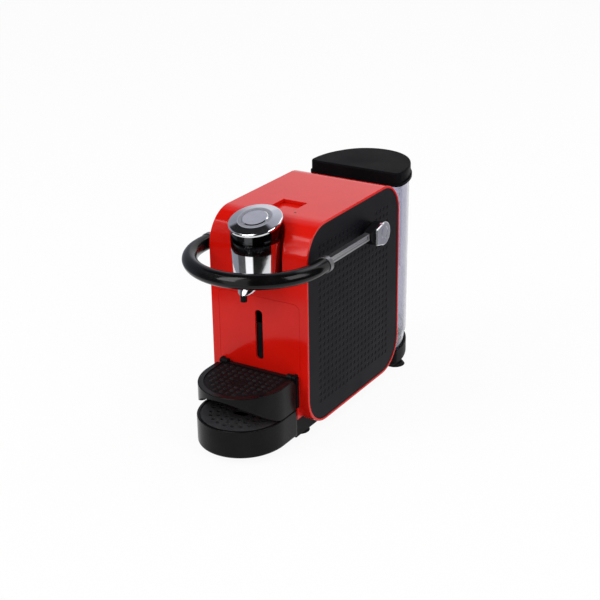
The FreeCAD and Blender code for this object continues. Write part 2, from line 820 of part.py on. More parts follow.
# Screws up through the base into bosses in the shell
screws = []
screw_top = screw_head_top + screw_length
for n, spot in enumerate(screw_spots):
    screws.append(rod(f"screw_head_{n}", "z", screw_head_radius,
                      (screw_head_top - screw_head_height, screw_head_top), spot))
    screws.append(rod(f"screw_shank_{n}", "z", screw_radius, (screw_head_top, screw_top), spot))
piece(fuse("screw_set", *screws), "base_screws")

# Mains cord gland in the left side of the base
gland_span = (-base_side - gland_length / 2, gland_length / 2 - base_side)
gland_axis = (front + gland_setback, gland_z)
piece(cut("gland_tube", rod("gland_blank", "x", gland_radius, gland_span, gland_axis),
          rod("gland_hollow", "x", gland_bore, (gland_span[0] - over, gland_span[1] + over), gland_axis)),
          "cord_gland")

# Body shell with the channel for the brew head
head_y = front - head_reach
channel_y = front - channel_reach
duct_span = (head_y + sleeve_radius - duct_entry, front + frame_setback)
duct_axis = (as_size(0), brew_height)
channel_blank = common("channel_blank", body_block("channel_limit"),
                       rod("channel_bulk", "z", channel_radius + channel_wall,
                           (channel_floor - shell_wall, body_top + over),
                           (0, channel_y)))
boss_list = [rod(f"boss_{n}", "z", boss_radius, (shell_floor - over / 2, screw_top + over), spot)
             for n, spot in enumerate(screw_spots)]
shell_band = cut("shell_band", body_block("shell_block"),
                 inside_body("shell_space", (-half_body - over, half_body + over),
                                                                     shell_wall))
window = front_prism("window", (-(cover_width / 2 + cover_gap), cover_width / 2 + cover_gap),
                     (front - over, front + shell_wall + over),
                     (cover_bottom - cover_gap, cover_top + cover_gap),
                     cover_corner + cover_gap)
slot_y = (front + slot_setback, front + slot_setback + slot_length)
shutter_top = body_top - slot_depth
collar_low = shutter_top + shutter_gap
slot_collar_box = box("slot_collar_box", (-(slot_width / 2 + slot_collar), slot_width / 2 + slot_collar),
                      (slot_y[0] - slot_collar, slot_y[1] + slot_collar),
                      (collar_low, body_top - shell_wall / 2))
capsule_slot = box("capsule_slot", (-slot_width / 2, slot_width / 2), slot_y,
                   (collar_low - over, body_top + over))
lens_spot = (lens_offset, front + lens_setback)
shell_cuts = [
    rod("channel", "z", channel_radius, (channel_floor, body_top + over),
        (0, channel_y)), window, capsule_slot,
    rod("lens_hole", "z", lens_radius, (body_top - shell_wall - over, body_top + over), lens_spot),
    rod("hose_hole", "z", hose_radius + hose_hole_gap, (body_lift - over, shell_floor + over),
        (hose_x, hose_y)),
    rod("duct_hole", "y", duct_radius + duct_gap, duct_span, duct_axis)]
shell_cuts += [rod(f"shell_screw_hole_{n}", "z", screw_radius, (body_lift - over, screw_top), spot)
               for n, spot in enumerate(screw_spots)]
shell_plain = cut("shell_plain",
                  fuse("shell_bulk", shell_band, channel_blank, slot_collar_box, *boss_list), *shell_cuts)


def on_channel_lip(edge):
    """True for the edges where the channel wall meets the outside of the shell above the channel floor."""
    spots = [edge.valueAt(edge.FirstParameter + share * (edge.LastParameter - edge.FirstParameter))
             for share in (0.1, 0.5, 0.9)]
    on_wall = all(abs(math.hypot(spot.x, spot.y - channel_y.value) - channel_radius.value) < near
                  for spot in spots)
    level = edge.BoundBox.ZMax < channel_floor.value + near
    return on_wall and not level and edge.BoundBox.YMax < slot_y[0].value and spots[1].y < duct_span[1].value


def on_side_rim(edge):
    """True for the outer edges round both open sides of the shell."""
    spot = edge.valueAt((edge.FirstParameter + edge.LastParameter) / 2)
    flat = edge.BoundBox.XLength < near and abs(abs(spot.x) - half_body.value) < near
    across = abs(spot.y - (body_y[0].value + body_y[1].value) / 2) - body_depth.value / 2 + body_corner.value
    along = abs(spot.z - (body_z[0].value + body_z[1].value) / 2) - body_height.value / 2 + body_corner.value
    beyond = math.hypot(max(across, 0), max(along, 0)) + min(max(across, along), 0) - body_corner.value
    return flat and abs(beyond) < near


shell_round = round_edges("shell_round", shell_plain, (channel_lip, on_channel_lip),
                          (rim_round, on_side_rim))
apron = cut("apron", box("apron_block", (-base_side, base_side), (front, front + body_corner),
                         (base_top, body_lift + body_corner)), body_block("apron_back"))
piece(fuse("shell_all", shell_round, apron), "main_shell")

# Side panels and the bushes the handle turns in
panel_outer = half_body - panel_inset
panel_inner = panel_outer - panel_thickness
pivot = (pivot_y, handle_height)


def make_side(side, word):
    panel = inside_body(f"panel_blank_{word}", side_span(side, panel_inner, panel_outer),
                        shell_wall + panel_gap)
    hole = rod(f"panel_hole_{word}", "x", bush_radius,
               side_span(side, panel_inner - over, panel_outer + over), pivot)
    piece(cut(f"panel_{word}", panel, hole), f"side_panel_{word}")
    bush = rod(f"bush_blank_{word}", "x", bush_radius,
               side_span(side, panel_inner, panel_outer + bush_stand), pivot)
    bore = rod(f"bush_bore_{word}", "x", axle_radius + axle_clearance,
               side_span(side, panel_inner - over, panel_outer + bush_stand + over), pivot)
    piece(cut(f"bush_{word}", bush, bore), f"pivot_bush_{word}")
    rail = box(f"rail_{word}", side_span(side, bin_width / 2 - bin_wall * 2, panel_inner),
               (front + cover_gap + shell_wall + bin_rise, front + shell_wall + bin_depth),
               (cover_bottom, cover_bottom + bin_rise - rest_gap))
    piece(rail, f"drawer_rail_{word}")


both_sides(make_side)

# Brew head: sleeve, band, cap, ring, button and spout
cap_y = front - cap_reach
under_y = cap_y + cap_edge * sine(cap_tilt)
under_z = cap_height - cap_edge * cosine(cap_tilt)
cap_space = tilt(doc.addObject("Part::Cylinder", "cap_space"), cap_tilt, 0, under_y, under_z)
bind(cap_space, Radius=2 * cap_radius, Height=body_height)
sleeve_low = sleeve_radius - sleeve_taper
sleeve_blank = cone("sleeve_blank", "z", sleeve_low, sleeve_radius, (channel_floor, band_split_height),
                    (0, head_y))
sleeve_space = cone("sleeve_space", "z", sleeve_low - sleeve_wall, sleeve_radius - sleeve_wall,
                    (channel_floor + sleeve_wall, band_split_height + sleeve_wall), (0, head_y))
spout_y = front - spout_reach
sleeve_drain = rod("sleeve_drain", "z", nozzle_radius,
                   (channel_floor - over, channel_floor + sleeve_wall + over),
                   (0, spout_y))
sleeve_duct_hole = rod("sleeve_duct_hole", "y", duct_radius + duct_gap, duct_span, duct_axis)
piece(cut("sleeve", sleeve_blank, sleeve_space, sleeve_drain, sleeve_duct_hole), "head_sleeve")
band_outer = sleeve_radius + band_step
band_top = cap_height + cap_radius * sine(cap_tilt)
band_blank = rod("band_blank", "z", band_outer, (band_split_height, band_top), (0, head_y))
band_bore = rod("band_bore", "z", sleeve_radius - band_wall, (band_split_height - over, band_top + over),
                (0, head_y))
groove_low = band_split_height + band_groove_rise
groove_high = groove_low + band_groove_width
groove_disc = rod("groove_disc", "z", cap_radius, (groove_low, groove_high), (0, head_y))
groove_core = rod("groove_core", "z", band_outer - band_groove_depth, (groove_low - over, groove_high + over),
                  (0, head_y))
piece(cut("band", band_blank, band_bore, cap_space, cut("band_groove", groove_disc, groove_core)),
      "head_band")

ring_inner = ring_radius - ring_width
well_floor = cap_face - button_crown - 2 * button_depth
cap_plug = ring_radius + cap_plug_wall
cap_blank = turned("cap_blank", [
    (zero, -cap_under), (cap_plug, -cap_under), (cap_plug, -cap_edge), (cap_under_radius, -cap_edge),
    (cap_radius, zero), (cap_face_radius, cap_face),
    (ring_radius, cap_face), (ring_radius, cap_face - ring_depth), (ring_inner, cap_face - ring_depth),
    (ring_inner, well_floor), (zero, well_floor)])
tilt(cap_blank, cap_tilt, 0, cap_y, cap_height)
piece(round_edges("cap", cap_blank, (cap_round, lambda edge: hasattr(edge.Curve, "Radius")
                                     and abs(edge.Curve.Radius - cap_radius.value) < near)), "head_cap")
ring = turned("ring", [(ring_inner, cap_face - ring_depth), (ring_radius, cap_face - ring_depth),
                       (ring_radius, cap_face),
                       (ring_inner, cap_face)])
piece(tilt(ring, cap_tilt, 0, cap_y, cap_height), "light_ring")
button_radius = ring_inner - button_gap
button = turned("button", [(zero, cap_face - button_depth), (button_radius, cap_face - button_depth),
                           (button_radius, cap_face), (button_radius - 2 * button_crown,
                                                       cap_face + button_crown),
                           (zero, cap_face + button_crown)])
piece(tilt(button, cap_tilt, 0, cap_y, cap_height), "brew_button")
nozzle_y = front - nozzle_reach
waist_y = front - spout_waist_reach
waist_z = nozzle_top + spout_waist_rise
spout_wall = oblique_cone("spout_wall", (nozzle_radius + spout_lip, nozzle_y, nozzle_top),
                          (spout_waist, waist_y, waist_z),
                          (spout_radius, spout_y, channel_floor))
spout_space = oblique_cone("spout_space", (nozzle_bore, nozzle_y, nozzle_top),
                           (spout_waist - sleeve_wall, waist_y, waist_z),
                           (spout_radius - sleeve_wall, spout_y, channel_floor))
piece(cut("spout", spout_wall, spout_space), "spout_cone")
nozzle_span = (nozzle_tip, nozzle_top)
piece(cut("nozzle", rod("nozzle_blank", "z", nozzle_radius, nozzle_span, (0, nozzle_y)),
          rod("nozzle_hole", "z", nozzle_bore, (nozzle_tip - over, nozzle_top + over), (0, nozzle_y))),
          "spout_nozzle")
piece(rod("lens", "z", lens_radius, (body_top - shell_wall, body_top + button_gap), lens_spot),
      "indicator_lens")

# Handle: bent grip, collars, flat arms, hubs and the axle with its crank
bend_y = front + grip_bend_setback
grip_bend = doc.addObject("Part::Torus", "grip_bend")
grip_bend.Angle3 = 180
bind(grip_bend, Radius1=handle_x, Radius2=grip_radius)
grip_bend.Placement.Rotation = FreeCAD.Rotation(FreeCAD.Vector(0, 0, 1), 180)
place(grip_bend, 0, bend_y, handle_height)
collar_y = bend_y + grip_straight
taper_y = collar_y + collar_length
arm_y = taper_y + collar_taper
hub_face = pivot_y - hub_nose
arm_end = hub_face - hub_neck
arm_z = (handle_height + arm_rise - arm_depth / 2, handle_height + arm_rise + arm_depth / 2)
hub_z = handle_height - hub_drop
grip_ends = [rod(f"grip_end_{n}", "y", grip_radius, (bend_y, collar_y), (side * handle_x, handle_height))
             for n, side in enumerate((-1, 1))]
piece(fuse("grip", grip_bend, *grip_ends), "handle_grip")
axle_end = hub_inner + axle_seat


def hub_form(name, x, margin):
    """Round hub with a flat nose towards the arm, drawn in by a margin."""
    nose_half = hub_nose_depth / 2 - margin
    disc = rod(f"{name}_disc", "x", hub_radius - margin, x, (pivot_y, hub_z))
    nose = side_polygon(f"{name}_nose", x, [
        (hub_face, hub_z - nose_half), (pivot_y, hub_z - hub_radius + margin),
        (pivot_y, hub_z + hub_radius - margin), (hub_face, hub_z + nose_half)])
    return fuse(f"{name}_form", disc, nose)


def make_arm(side, word):
    middle = (side * handle_x, handle_height)
    collar = rod(f"collar_rod_{word}", "y", grip_radius + collar_step, (collar_y, taper_y), middle)
    taper = cone(f"collar_cone_{word}", "y", grip_radius + collar_step, arm_thickness, (taper_y, arm_y),
                 middle)
    piece(fuse(f"collar_{word}", collar, taper), f"handle_collar_{word}")
    arm_x = side_span(side, handle_x - arm_thickness / 2, handle_x + arm_thickness / 2)
    bar = box(f"bar_{word}", arm_x, (arm_y, arm_end), arm_z)
    groove_x = side_span(side, handle_x + arm_thickness / 2 - arm_groove,
                         handle_x + arm_thickness / 2 + over)
    line_cut = box(f"bar_groove_{word}", groove_x, (arm_y + arm_depth / 2, arm_end - arm_depth / 2),
                   (arm_z[0] + arm_depth / 4, arm_z[1] - arm_depth / 4))
    piece(cut(f"arm_{word}", bar, line_cut), f"handle_arm_{word}")
    block_out = hub_inner + hub_thickness
    block_x = side_span(side, hub_inner, block_out)
    block_half = hub_nose_depth / 2 - hub_plate_margin
    neck = side_polygon(f"neck_{word}", block_x, [(arm_end, arm_z[0]), (hub_face, hub_z - block_half),
                                                  (hub_face, hub_z + block_half), (arm_end, arm_z[1])])
    block = fuse(f"block_{word}", hub_form(f"socket_{word}", block_x, hub_plate_margin), neck)
    bore = rod(f"hub_bore_{word}", "x", axle_radius, side_span(side, hub_inner - over, axle_end), pivot)
    piece(cut(f"hub_socket_{word}", block, bore), f"hub_socket_{word}")
    plate_out = block_out + hub_plate
    hub = hub_form(f"hub_{word}", side_span(side, block_out, plate_out), zero)
    hub.Refine = True
    edge_x = side * plate_out
    soft = round_edges(f"hub_soft_{word}", hub, (hub_round, lambda edge: edge.BoundBox.XLength < near
                                                 and abs(edge.BoundBox.XMin - edge_x.value) < near))
    ring_span = side_span(side, plate_out - hub_ring_depth, plate_out + over)
    ring_outer = rod(f"hub_ring_outer_{word}", "x", hub_ring_radius, ring_span, pivot)
    ring_core = rod(f"hub_ring_core_{word}", "x", hub_ring_radius - hub_ring_width, ring_span, pivot)
    piece(cut(f"hub_plate_{word}", soft, cut(f"hub_ring_{word}", ring_outer, ring_core)),
          f"handle_hub_{word}")


both_sides(make_arm)
piece(rod("axle", "x", axle_radius, (-axle_end, axle_end), pivot), "handle_axle")
pin_y = pivot_y - crank_radius * sine(crank_swing)
pin_z = handle_height + crank_radius * cosine(crank_swing)
crank_parts = [rod("crank_pin_rod", "x", crank_pin, (-crank_spread / 2, crank_spread / 2), (pin_y, pin_z))]
for side, word in ((-1, "left"), (1, "right")):
    span = side_span(side, crank_spread / 2, crank_spread / 2 + crank_thickness)
    web = box(f"crank_web_{word}", (zero, crank_thickness), (-crank_web, crank_web), (zero, crank_radius))
    web.Placement = FreeCAD.Placement(FreeCAD.Vector(span[0].value, pivot_y.value, handle_height.value),
                                      FreeCAD.Rotation(FreeCAD.Vector(1, 0, 0), crank_swing.value))
    bind(web, Placement_dot_Rotation_dot_Angle=crank_swing)
    web_y = pivot_y - crank_web * cosine(crank_swing)
    web_z = handle_height - crank_web * sine(crank_swing)
    place(web, span[0], web_y, web_z)
    crank_parts += [web, rod(f"crank_end_{word}", "x", crank_web, span, (pin_y, pin_z)),
                    rod(f"crank_boss_{word}", "x", crank_boss, span, pivot)]
crank_bore = rod("crank_bore", "x", axle_radius, (-crank_spread, crank_spread), pivot)
piece(cut("crank", fuse("crank_bulk", *crank_parts), crank_bore), "drive_crank")

# Brew unit: frame, outlet duct, extraction plate and the capsule cage with its drawbar
frame_side = frame_width / 2
frame_y = (front + frame_setback, front + frame_setback + frame_depth)
frame_z = (frame_bottom, frame_bottom + frame_height)
frame_space = box("frame_space", (frame_wall - frame_side, frame_side - frame_wall),
                  (frame_y[0] + frame_wall, frame_y[1] - frame_wall), (frame_z[0] - over, frame_z[1] + over))
frame_notch = box("frame_notch", (-notch_width / 2, notch_width / 2),
                  (frame_y[1] - frame_wall - over, frame_y[1] + over),
                  (frame_z[1] - notch_drop, frame_z[1] + over))
frame_port = rod("frame_port", "y", duct_bore, (frame_y[0] - over, frame_y[0] + frame_wall + over),
                 duct_axis)
piece(cut("frame_box", box("frame_blank", (-frame_side, frame_side), frame_y, frame_z), frame_space,
          frame_notch, frame_port),
      "brew_frame")
piece(cut("duct", rod("duct_blank", "y", duct_radius, duct_span, duct_axis),
          rod("duct_hollow", "y", duct_bore, (duct_span[0] - over, duct_span[1] + over), duct_axis)),
          "outlet_duct")
plate_span = (frame_y[0] + frame_wall, frame_y[0] + frame_wall + plate_thickness)
piece(cut("plate", rod("plate_blank", "y", plate_radius, plate_span, duct_axis),
          rod("plate_hole", "y", duct_bore, (plate_span[0] - over, plate_span[1] + over), duct_axis)),
          "extraction_plate")
cage_span = (cage_front, cage_front + cage_length)
cup = cut("cage_cup", rod("cage_blank", "y", cage_radius, cage_span, duct_axis),
          rod("cage_pocket", "y", cage_bore, (cage_front - over, cage_front + cage_pocket), duct_axis))
fin_x = frame_side - frame_wall - fin_gap
fin_blank = box("cage_fins", (-fin_x, fin_x), (cage_span[1] - fin_length, cage_span[1]),
                (brew_height - fin_thickness / 2, brew_height + fin_thickness / 2))
fins = cut("fins", fin_blank,
           rod("fin_hollow", "y", cage_bore, (cage_front, cage_front + cage_pocket), duct_axis))
drawbar_low = handle_height + axle_radius + drawbar_clearance
yoke_half = crank_pin + yoke_play
bar_x = (-drawbar_width / 2, drawbar_width / 2)
post = box("drawbar_post", bar_x, (cage_span[1] - fin_length / 2, cage_span[1]),
           (brew_height, drawbar_low + drawbar_thickness))
bar = box("drawbar", bar_x, (cage_span[1] - fin_length / 2, pin_y + yoke_half + yoke_wall),
          (drawbar_low, drawbar_low + drawbar_thickness))
yoke = box("yoke", bar_x, (pin_y - yoke_half - yoke_wall, pin_y + yoke_half + yoke_wall),
           (drawbar_low, drawbar_low + yoke_height))
yoke_slot = box("yoke_slot", (bar_x[0] - over, bar_x[1] + over), (pin_y - yoke_half, pin_y + yoke_half),
                (pin_z - yoke_half, drawbar_low + yoke_height + over))
post_trim = rod("post_trim", "y", cage_bore, (cage_front, cage_front + cage_pocket), duct_axis)
piece(cut("cage", fuse("cage_bulk", cup, fins, post, bar, yoke), yoke_slot, post_trim), "capsule_cage")

# Shutter under the capsule slot and the guide it slides in
shutter_x = slot_width / 2 + shutter_lap
shutter_y = (slot_y[0] - shutter_lap, slot_y[1] + shutter_lap)
shutter_low = shutter_top - shutter_thickness
cage_travel = 2 * crank_radius * sine(crank_swing)
piece(box("shutter", (-shutter_x, shutter_x), shutter_y, (shutter_low, shutter_top)), "capsule_shutter")
run_y = (shutter_y[0] - over, shutter_y[1] + cage_travel + over)
guide_x = shutter_x + shutter_gap
guide_floor = shutter_low - shutter_gap
guide_blank = box("guide_blank", (-guide_x - guide_wall, guide_x + guide_wall),
                  (run_y[0] - guide_wall, run_y[1] + guide_wall),
                  (guide_floor - guide_wall, body_top - shell_wall))
guide_run = box("guide_run", (-guide_x, guide_x), run_y, (guide_floor, body_top))
guide_drop = box("guide_drop", (-slot_width / 2, slot_width / 2), run_y,
                 (guide_floor - guide_wall - over, body_top))
piece(cut("guide", guide_blank, guide_run, guide_drop), "shutter_guide")

# Front cover, capsule bin and the hinge brackets of the cup shelf
cover_blank = front_prism("cover_blank", (-cover_width / 2, cover_width / 2), (front, cover_back),
                          (cover_bottom, cover_top), cover_corner)
view_slot = front_prism("view_slot", (-view_slot_width / 2, view_slot_width / 2),
                        (front - over, cover_back + over),
                        (view_slot_bottom, view_slot_bottom + view_slot_height), view_slot_corner)
piece(cut("cover", cover_blank, view_slot), "front_cover")
bin_z = (cover_bottom + bin_rise, cover_bottom + bin_rise + bin_height)
bin_y = (cover_back, cover_back + bin_depth)
bin_blank = box("bin_blank", (-bin_width / 2, bin_width / 2), bin_y, bin_z)
bin_space = box("bin_space", (bin_wall - bin_width / 2, bin_width / 2 - bin_wall),
                (bin_y[0] + bin_wall, bin_y[1] - bin_wall),
                (bin_z[0] + bin_wall, bin_z[1] + over))
piece(cut("bin", bin_blank, bin_space), "capsule_bin")
hinge = (hinge_y, shelf_top)
bracket_in = shelf_width / 2 - bracket_inset
ear_out = bracket_in - hinge_side_gap
ear_in = ear_out - ear_length
shelf_low = tray_top + shelf_skirt_gap


def make_bracket(side, word):
    span = side_span(side, bracket_in, bracket_in + bracket_thickness)
    knuckle = rod(f"bracket_knuckle_{word}", "x", bracket_half_height, span, hinge)
    block = box(f"bracket_block_{word}", span, (hinge_y, front),
                (shelf_top - bracket_half_height, shelf_top + bracket_half_height))
    strip = box(f"bracket_strip_{word}", side_span(side, bracket_in, shelf_width / 2),
                (front - bracket_depth, front),
                (shelf_low, shelf_top))
    pin = rod(f"bracket_pin_{word}", "x", pin_radius, side_span(side, ear_in, bracket_in), hinge)
    piece(fuse(f"bracket_{word}", knuckle, block, strip, pin), f"shelf_bracket_{word}")


both_sides(make_bracket)

# Folding cup shelf with an arched skirt, and its mat
mat_floor = shelf_top - mat_sink - mat_thickness
shelf_block = shelf_arch.prism("shelf_block", (shelf_low, shelf_top))
shelf_blank = round_edges("shelf_blank", shelf_block, (shelf_edge_round, at_top(shelf_top)))
shelf_hollow = shelf_arch.prism("shelf_hollow", (shelf_low - over, mat_floor - shelf_plate), shelf_wall,
                                over)
mat_space = shelf_arch.prism("mat_space", (mat_floor, shelf_top + over), shelf_rim, shelf_corner)
ears = [rod(f"ear_{n}", "x", ear_radius, side_span(side, ear_in, ear_out), hinge) for n,
        side in enumerate((-1, 1))]
ear_bores = [rod(f"ear_bore_{n}", "x", pin_radius + pin_clearance,
                 side_span(side, ear_in - over, ear_out + over), hinge)
             for n, side in enumerate((-1, 1))]
bracket_swing = root_of(hinge_setback * hinge_setback + bracket_half_height * bracket_half_height)
notch_radius = bracket_swing + hinge_swing_gap
notches = [rod(f"hinge_notch_{n}", "x", notch_radius, side_span(side, ear_out, half_body), hinge)
           for n, side in enumerate((-1, 1))]
skirt_ends = [box(f"skirt_end_{n}", side_span(side, ear_out, half_body),
                  (front - skirt_setback, front + over),
                  (shelf_low - over, shelf_top + over)) for n, side in enumerate((-1, 1))]
arch_cut = rod("arch_cut", "y", arch_radius, (front - shelf_gap - shelf_depth - over, front),
               (0, shelf_top - arch_crown - arch_radius))
piece(cut("shelf", fuse("shelf_bulk", cut("shelf_tray", shelf_blank, shelf_hollow, mat_space, arch_cut),
                        *ears),
          *notches, *skirt_ends, *ear_bores), "cup_shelf")
mat_blank = shelf_arch.prism("mat_blank", (mat_floor, mat_floor + mat_thickness), shelf_rim + mat_gap,
                             shelf_corner - mat_gap)
ear_rooms = [rod(f"ear_room_{n}", "x", ear_radius + mat_gap, side_span(side, ear_in - mat_gap, half_body),
                 hinge)
             for n, side in enumerate((-1, 1))]
piece(cut("mat", mat_blank, *ear_rooms), "shelf_mat")

# Drip tray and drip grid
ledge_z = tray_top - grid_sink - grid_thickness - rest_gap
tray_blank = tray_arch.prism("tray_blank", (tray_bottom, tray_top))
tray_round = round_edges("tray_round", tray_blank, (tray_edge_round, at_bottom(tray_bottom)),
                         (tray_rim_round, at_top(tray_top)))
tray_upper = tray_arch.prism("tray_upper", (ledge_z, tray_top + over), tray_wall)
tray_lower = tray_arch.prism("tray_lower", (tray_bottom + tray_floor, tray_top + over),
                             tray_wall + grid_ledge,
                             tray_wall)
piece(cut("tray", tray_round, tray_upper, tray_lower), "drip_tray")
grid_z = (ledge_z + rest_gap, tray_top - grid_sink)
grid_blank = tray_arch.prism("grid_blank", grid_z, tray_wall + grid_gap)
drain_y = tray_arch.flat_y - grid_drain_setback
hole_z = (grid_z[0] - over, grid_z[1] + over)
drain_end = (grid_drain_length - grid_drain_width) / 2
grid_cuts = [rod("drain_left", "z", grid_drain_width / 2, hole_z, (-drain_end, drain_y)),
             rod("drain_right", "z", grid_drain_width / 2, hole_z, (drain_end, drain_y)),
             box("drain_middle", (-drain_end, drain_end),
                 (drain_y - grid_drain_width / 2, drain_y + grid_drain_width / 2), hole_z)]
for ring_number in range(3):
    ring_line = grid_ring_radius + grid_ring_pitch * ring_number
    count = 2 * round(math.pi * ring_line.value / grid_hole_pitch.value)
    for number in range(count):
        angle = Size(360 * number / count, f"({360 * number / count:.6f})")
        hole_spot = (ring_line * sine(angle), drain_y - ring_line * cosine(angle))
        if hole_spot[1].value < tray_arch.flat_y.value - grid_hole_margin.value:
            grid_cuts.append(rod(f"grid_hole_{ring_number}_{number}", "z", grid_hole_radius, hole_z,
                                 hole_spot))
piece(cut("grid", grid_blank, *grid_cuts), "drip_grid")

# Water tank with its outlet, valve plunger and lid, and the socket the outlet plugs into
step_z = tank_level + tank_step
tank_low = tank_arch.prism("tank_low", (tank_level, step_z), tank_step_inset)
tank_high = tank_arch.flared("tank_high", brim_arch, (step_z, tank_brim))
tank_low_space = tank_arch.prism("tank_low_space", (tank_level + tank_floor, step_z + tank_floor),
                                 tank_step_inset + tank_wall)
tank_high_space = tank_arch.flared("tank_high_space", brim_arch, (step_z + tank_floor, tank_brim + over),
                                   tank_wall)
outlet_low = tank_level - outlet_drop
outlet = rod("outlet", "z", outlet_radius, (outlet_low, tank_level + over), (0, outlet_y))
outlet_hole = rod("outlet_hole", "z", outlet_bore, (outlet_low - over, tank_level + tank_floor + over),
                  (0, outlet_y))
piece(cut("tank_walls", fuse("tank_bulk", tank_low, tank_high, outlet), tank_low_space, tank_high_space,
          outlet_hole),
      "water_tank")
plunger_z = tank_level + tank_floor + rest_gap
piece(fuse("plunger", rod("plunger_disc", "z", plunger_head, (plunger_z, plunger_z + plunger_head_height),
                          (0, outlet_y)),
           rod("plunger_stem", "z", outlet_bore - plunger_gap, (outlet_low + under_gap, plunger_z),
               (0, outlet_y))), "tank_valve")
socket_floor = base_bottom + socket_base
socket_blank = rod("socket_blank", "z", socket_radius, (socket_floor, seat_level), (0, outlet_y))
socket_cup = rod("socket_cup", "z", outlet_radius + rest_gap, (outlet_low - over, seat_level + over),
                 (0, outlet_y))
socket_port = rod("socket_port", "y", socket_port_radius, (outlet_y - socket_radius - over, outlet_y),
                  (0, hose_floor))
piece(cut("socket", socket_blank, socket_cup, socket_port), "valve_socket")
lid_out = lid_gap + lid_skirt
lid_low = tank_brim - lid_drop
lid_height = tank_brim + rest_gap + lid_plate
lid_block = brim_arch.prism("lid_block", (lid_low, lid_height), -lid_out)
lid_top = round_edges("lid_top", lid_block, (lid_round, at_top(lid_height)))
lid_rim = brim_arch.prism("lid_rim", (lid_low, lid_low + lid_bead_height), -(lid_out + lid_bead))
lid_space = brim_arch.prism("lid_space", (lid_low - over, tank_brim + rest_gap), -lid_gap)
piece(cut("lid", fuse("lid_bulk", lid_top, lid_rim), lid_space), "tank_lid")

# Inner frame with the pump, flow meter, heater, board and hoses
inner_side = inner_thickness / 2
inner_y = (front + inner_setback, front + inner_setback + inner_depth)
water_axis = ((inner_y[0] + inner_y[1]) / 2, pump_height)
tube_hole = rod("tube_hole", "x", hose_radius, (-inner_side - over, inner_side + over), water_axis)
piece(cut("inner_plate", box("inner_blank", (-inner_side, inner_side), inner_y,
                             (shell_floor, frame_bottom)), tube_hole),
      "inner_frame")
pump_x = inner_side + pump_yoke / 2
yoke_y = (water_axis[0] - pump_yoke_depth / 2, water_axis[0] + pump_yoke_depth / 2)
pump_box = box("pump_box", (inner_side, inner_side + pump_yoke), yoke_y,
               (pump_height - pump_yoke / 2, pump_height + pump_yoke / 2))
pump_y = (water_axis[0] - pump_length / 2, water_axis[0] + pump_length / 2)
piece(fuse("pump_all", pump_box, rod("pump_barrel", "y", pump_radius, pump_y, (pump_x, pump_height))),
      "pump")
meter_x = (-inner_side - meter_width, -inner_side)
piece(fuse("meter", rod("meter_body", "x", meter_radius, meter_x, water_axis),
           rod("meter_spigot", "x", hose_radius, (-inner_side, inner_side), water_axis)), "flow_meter")
heater_x = (-inner_side - heater_width, -inner_side)
heater_y = (water_axis[0] - heater_depth / 2, water_axis[0] + heater_depth / 2)
heater_top = heater_bottom + heater_height
piece(box("heater", heater_x, heater_y, (heater_bottom, heater_top)), "heater_block")
board_x = inner_side + board_stand
board_y = (water_axis[0] - board_depth / 2, water_axis[0] + board_depth / 2)
board_parts = [box("board_plate", (board_x, board_x + board_thickness), board_y,
                   (board_bottom, board_bottom + board_height)),
               box("relay", (board_x + board_thickness, board_x + board_thickness + relay_side),
                   (water_axis[0], water_axis[0] + relay_side),
                   (board_bottom + relay_side, board_bottom + 2 * relay_side))]
board_parts += [rod(f"post_{n}_{k}", "x", post_radius, (inner_side, board_x), (y, z))
                for n, y in enumerate((board_y[0] + 2 * post_radius, board_y[1] - 2 * post_radius))
                for k, z in enumerate((board_bottom + 2 * post_radius,
                                       board_bottom + board_height - 2 * post_radius))]
piece(fuse("board", *board_parts), "control_board")
hose("hose_inlet", [(0, outlet_y - socket_radius, hose_floor), (0, outlet_y - 2 * socket_radius, hose_floor),
                    (hose_x, outlet_y - 2 * socket_radius, hose_floor), (hose_x, hose_y, hose_floor),
                    (hose_x, hose_y, pump_height), (hose_x, water_axis[0] + meter_radius, pump_height)])
back_y = inner_y[1] + hose_bend * 2
heater_x_mid = (heater_x[0] + heater_x[1]) / 2
port_z = heater_bottom + 3 * hose_radius
hose("hose_heater", [(pump_x, pump_y[1], pump_height), (pump_x, back_y, pump_height),
                     (pump_x, back_y, port_z),
                     (heater_x_mid, back_y, port_z), (heater_x_mid, heater_y[1], port_z)])
riser_x = heater_x[0] - hose_radius
riser_z = heater_top + 2 * hose_bend
frame_port_y = frame_y[1] - frame_depth / 4
hose("hose_brew", [(heater_x_mid, water_axis[0], heater_top), (heater_x_mid, water_axis[0], riser_z),
                   (riser_x, water_axis[0], riser_z), (riser_x, water_axis[0], brew_height),
                   (riser_x, frame_port_y, brew_height), (-frame_side, frame_port_y, brew_height)])

# Check every object and write one file for each piece
doc.recompute()
faults = [item.Name for item in doc.Objects if "Invalid" in item.State or "Error" in item.State]
for item in pieces:
    if item.Shape.isNull() or not item.Shape.isValid() or not item.Shape.Solids:
        faults.append(item.Label)
if faults:
    raise RuntimeError("bad objects: " + ", ".join(faults))
os.makedirs("parts", exist_ok=True)
for item in pieces:
    item.Shape.exportStep(f"parts/{item.Label}.step")
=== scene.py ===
import math
import bmesh
import bpy
from mathutils import Matrix, Vector
from mathutils.bvhtree import BVHTree


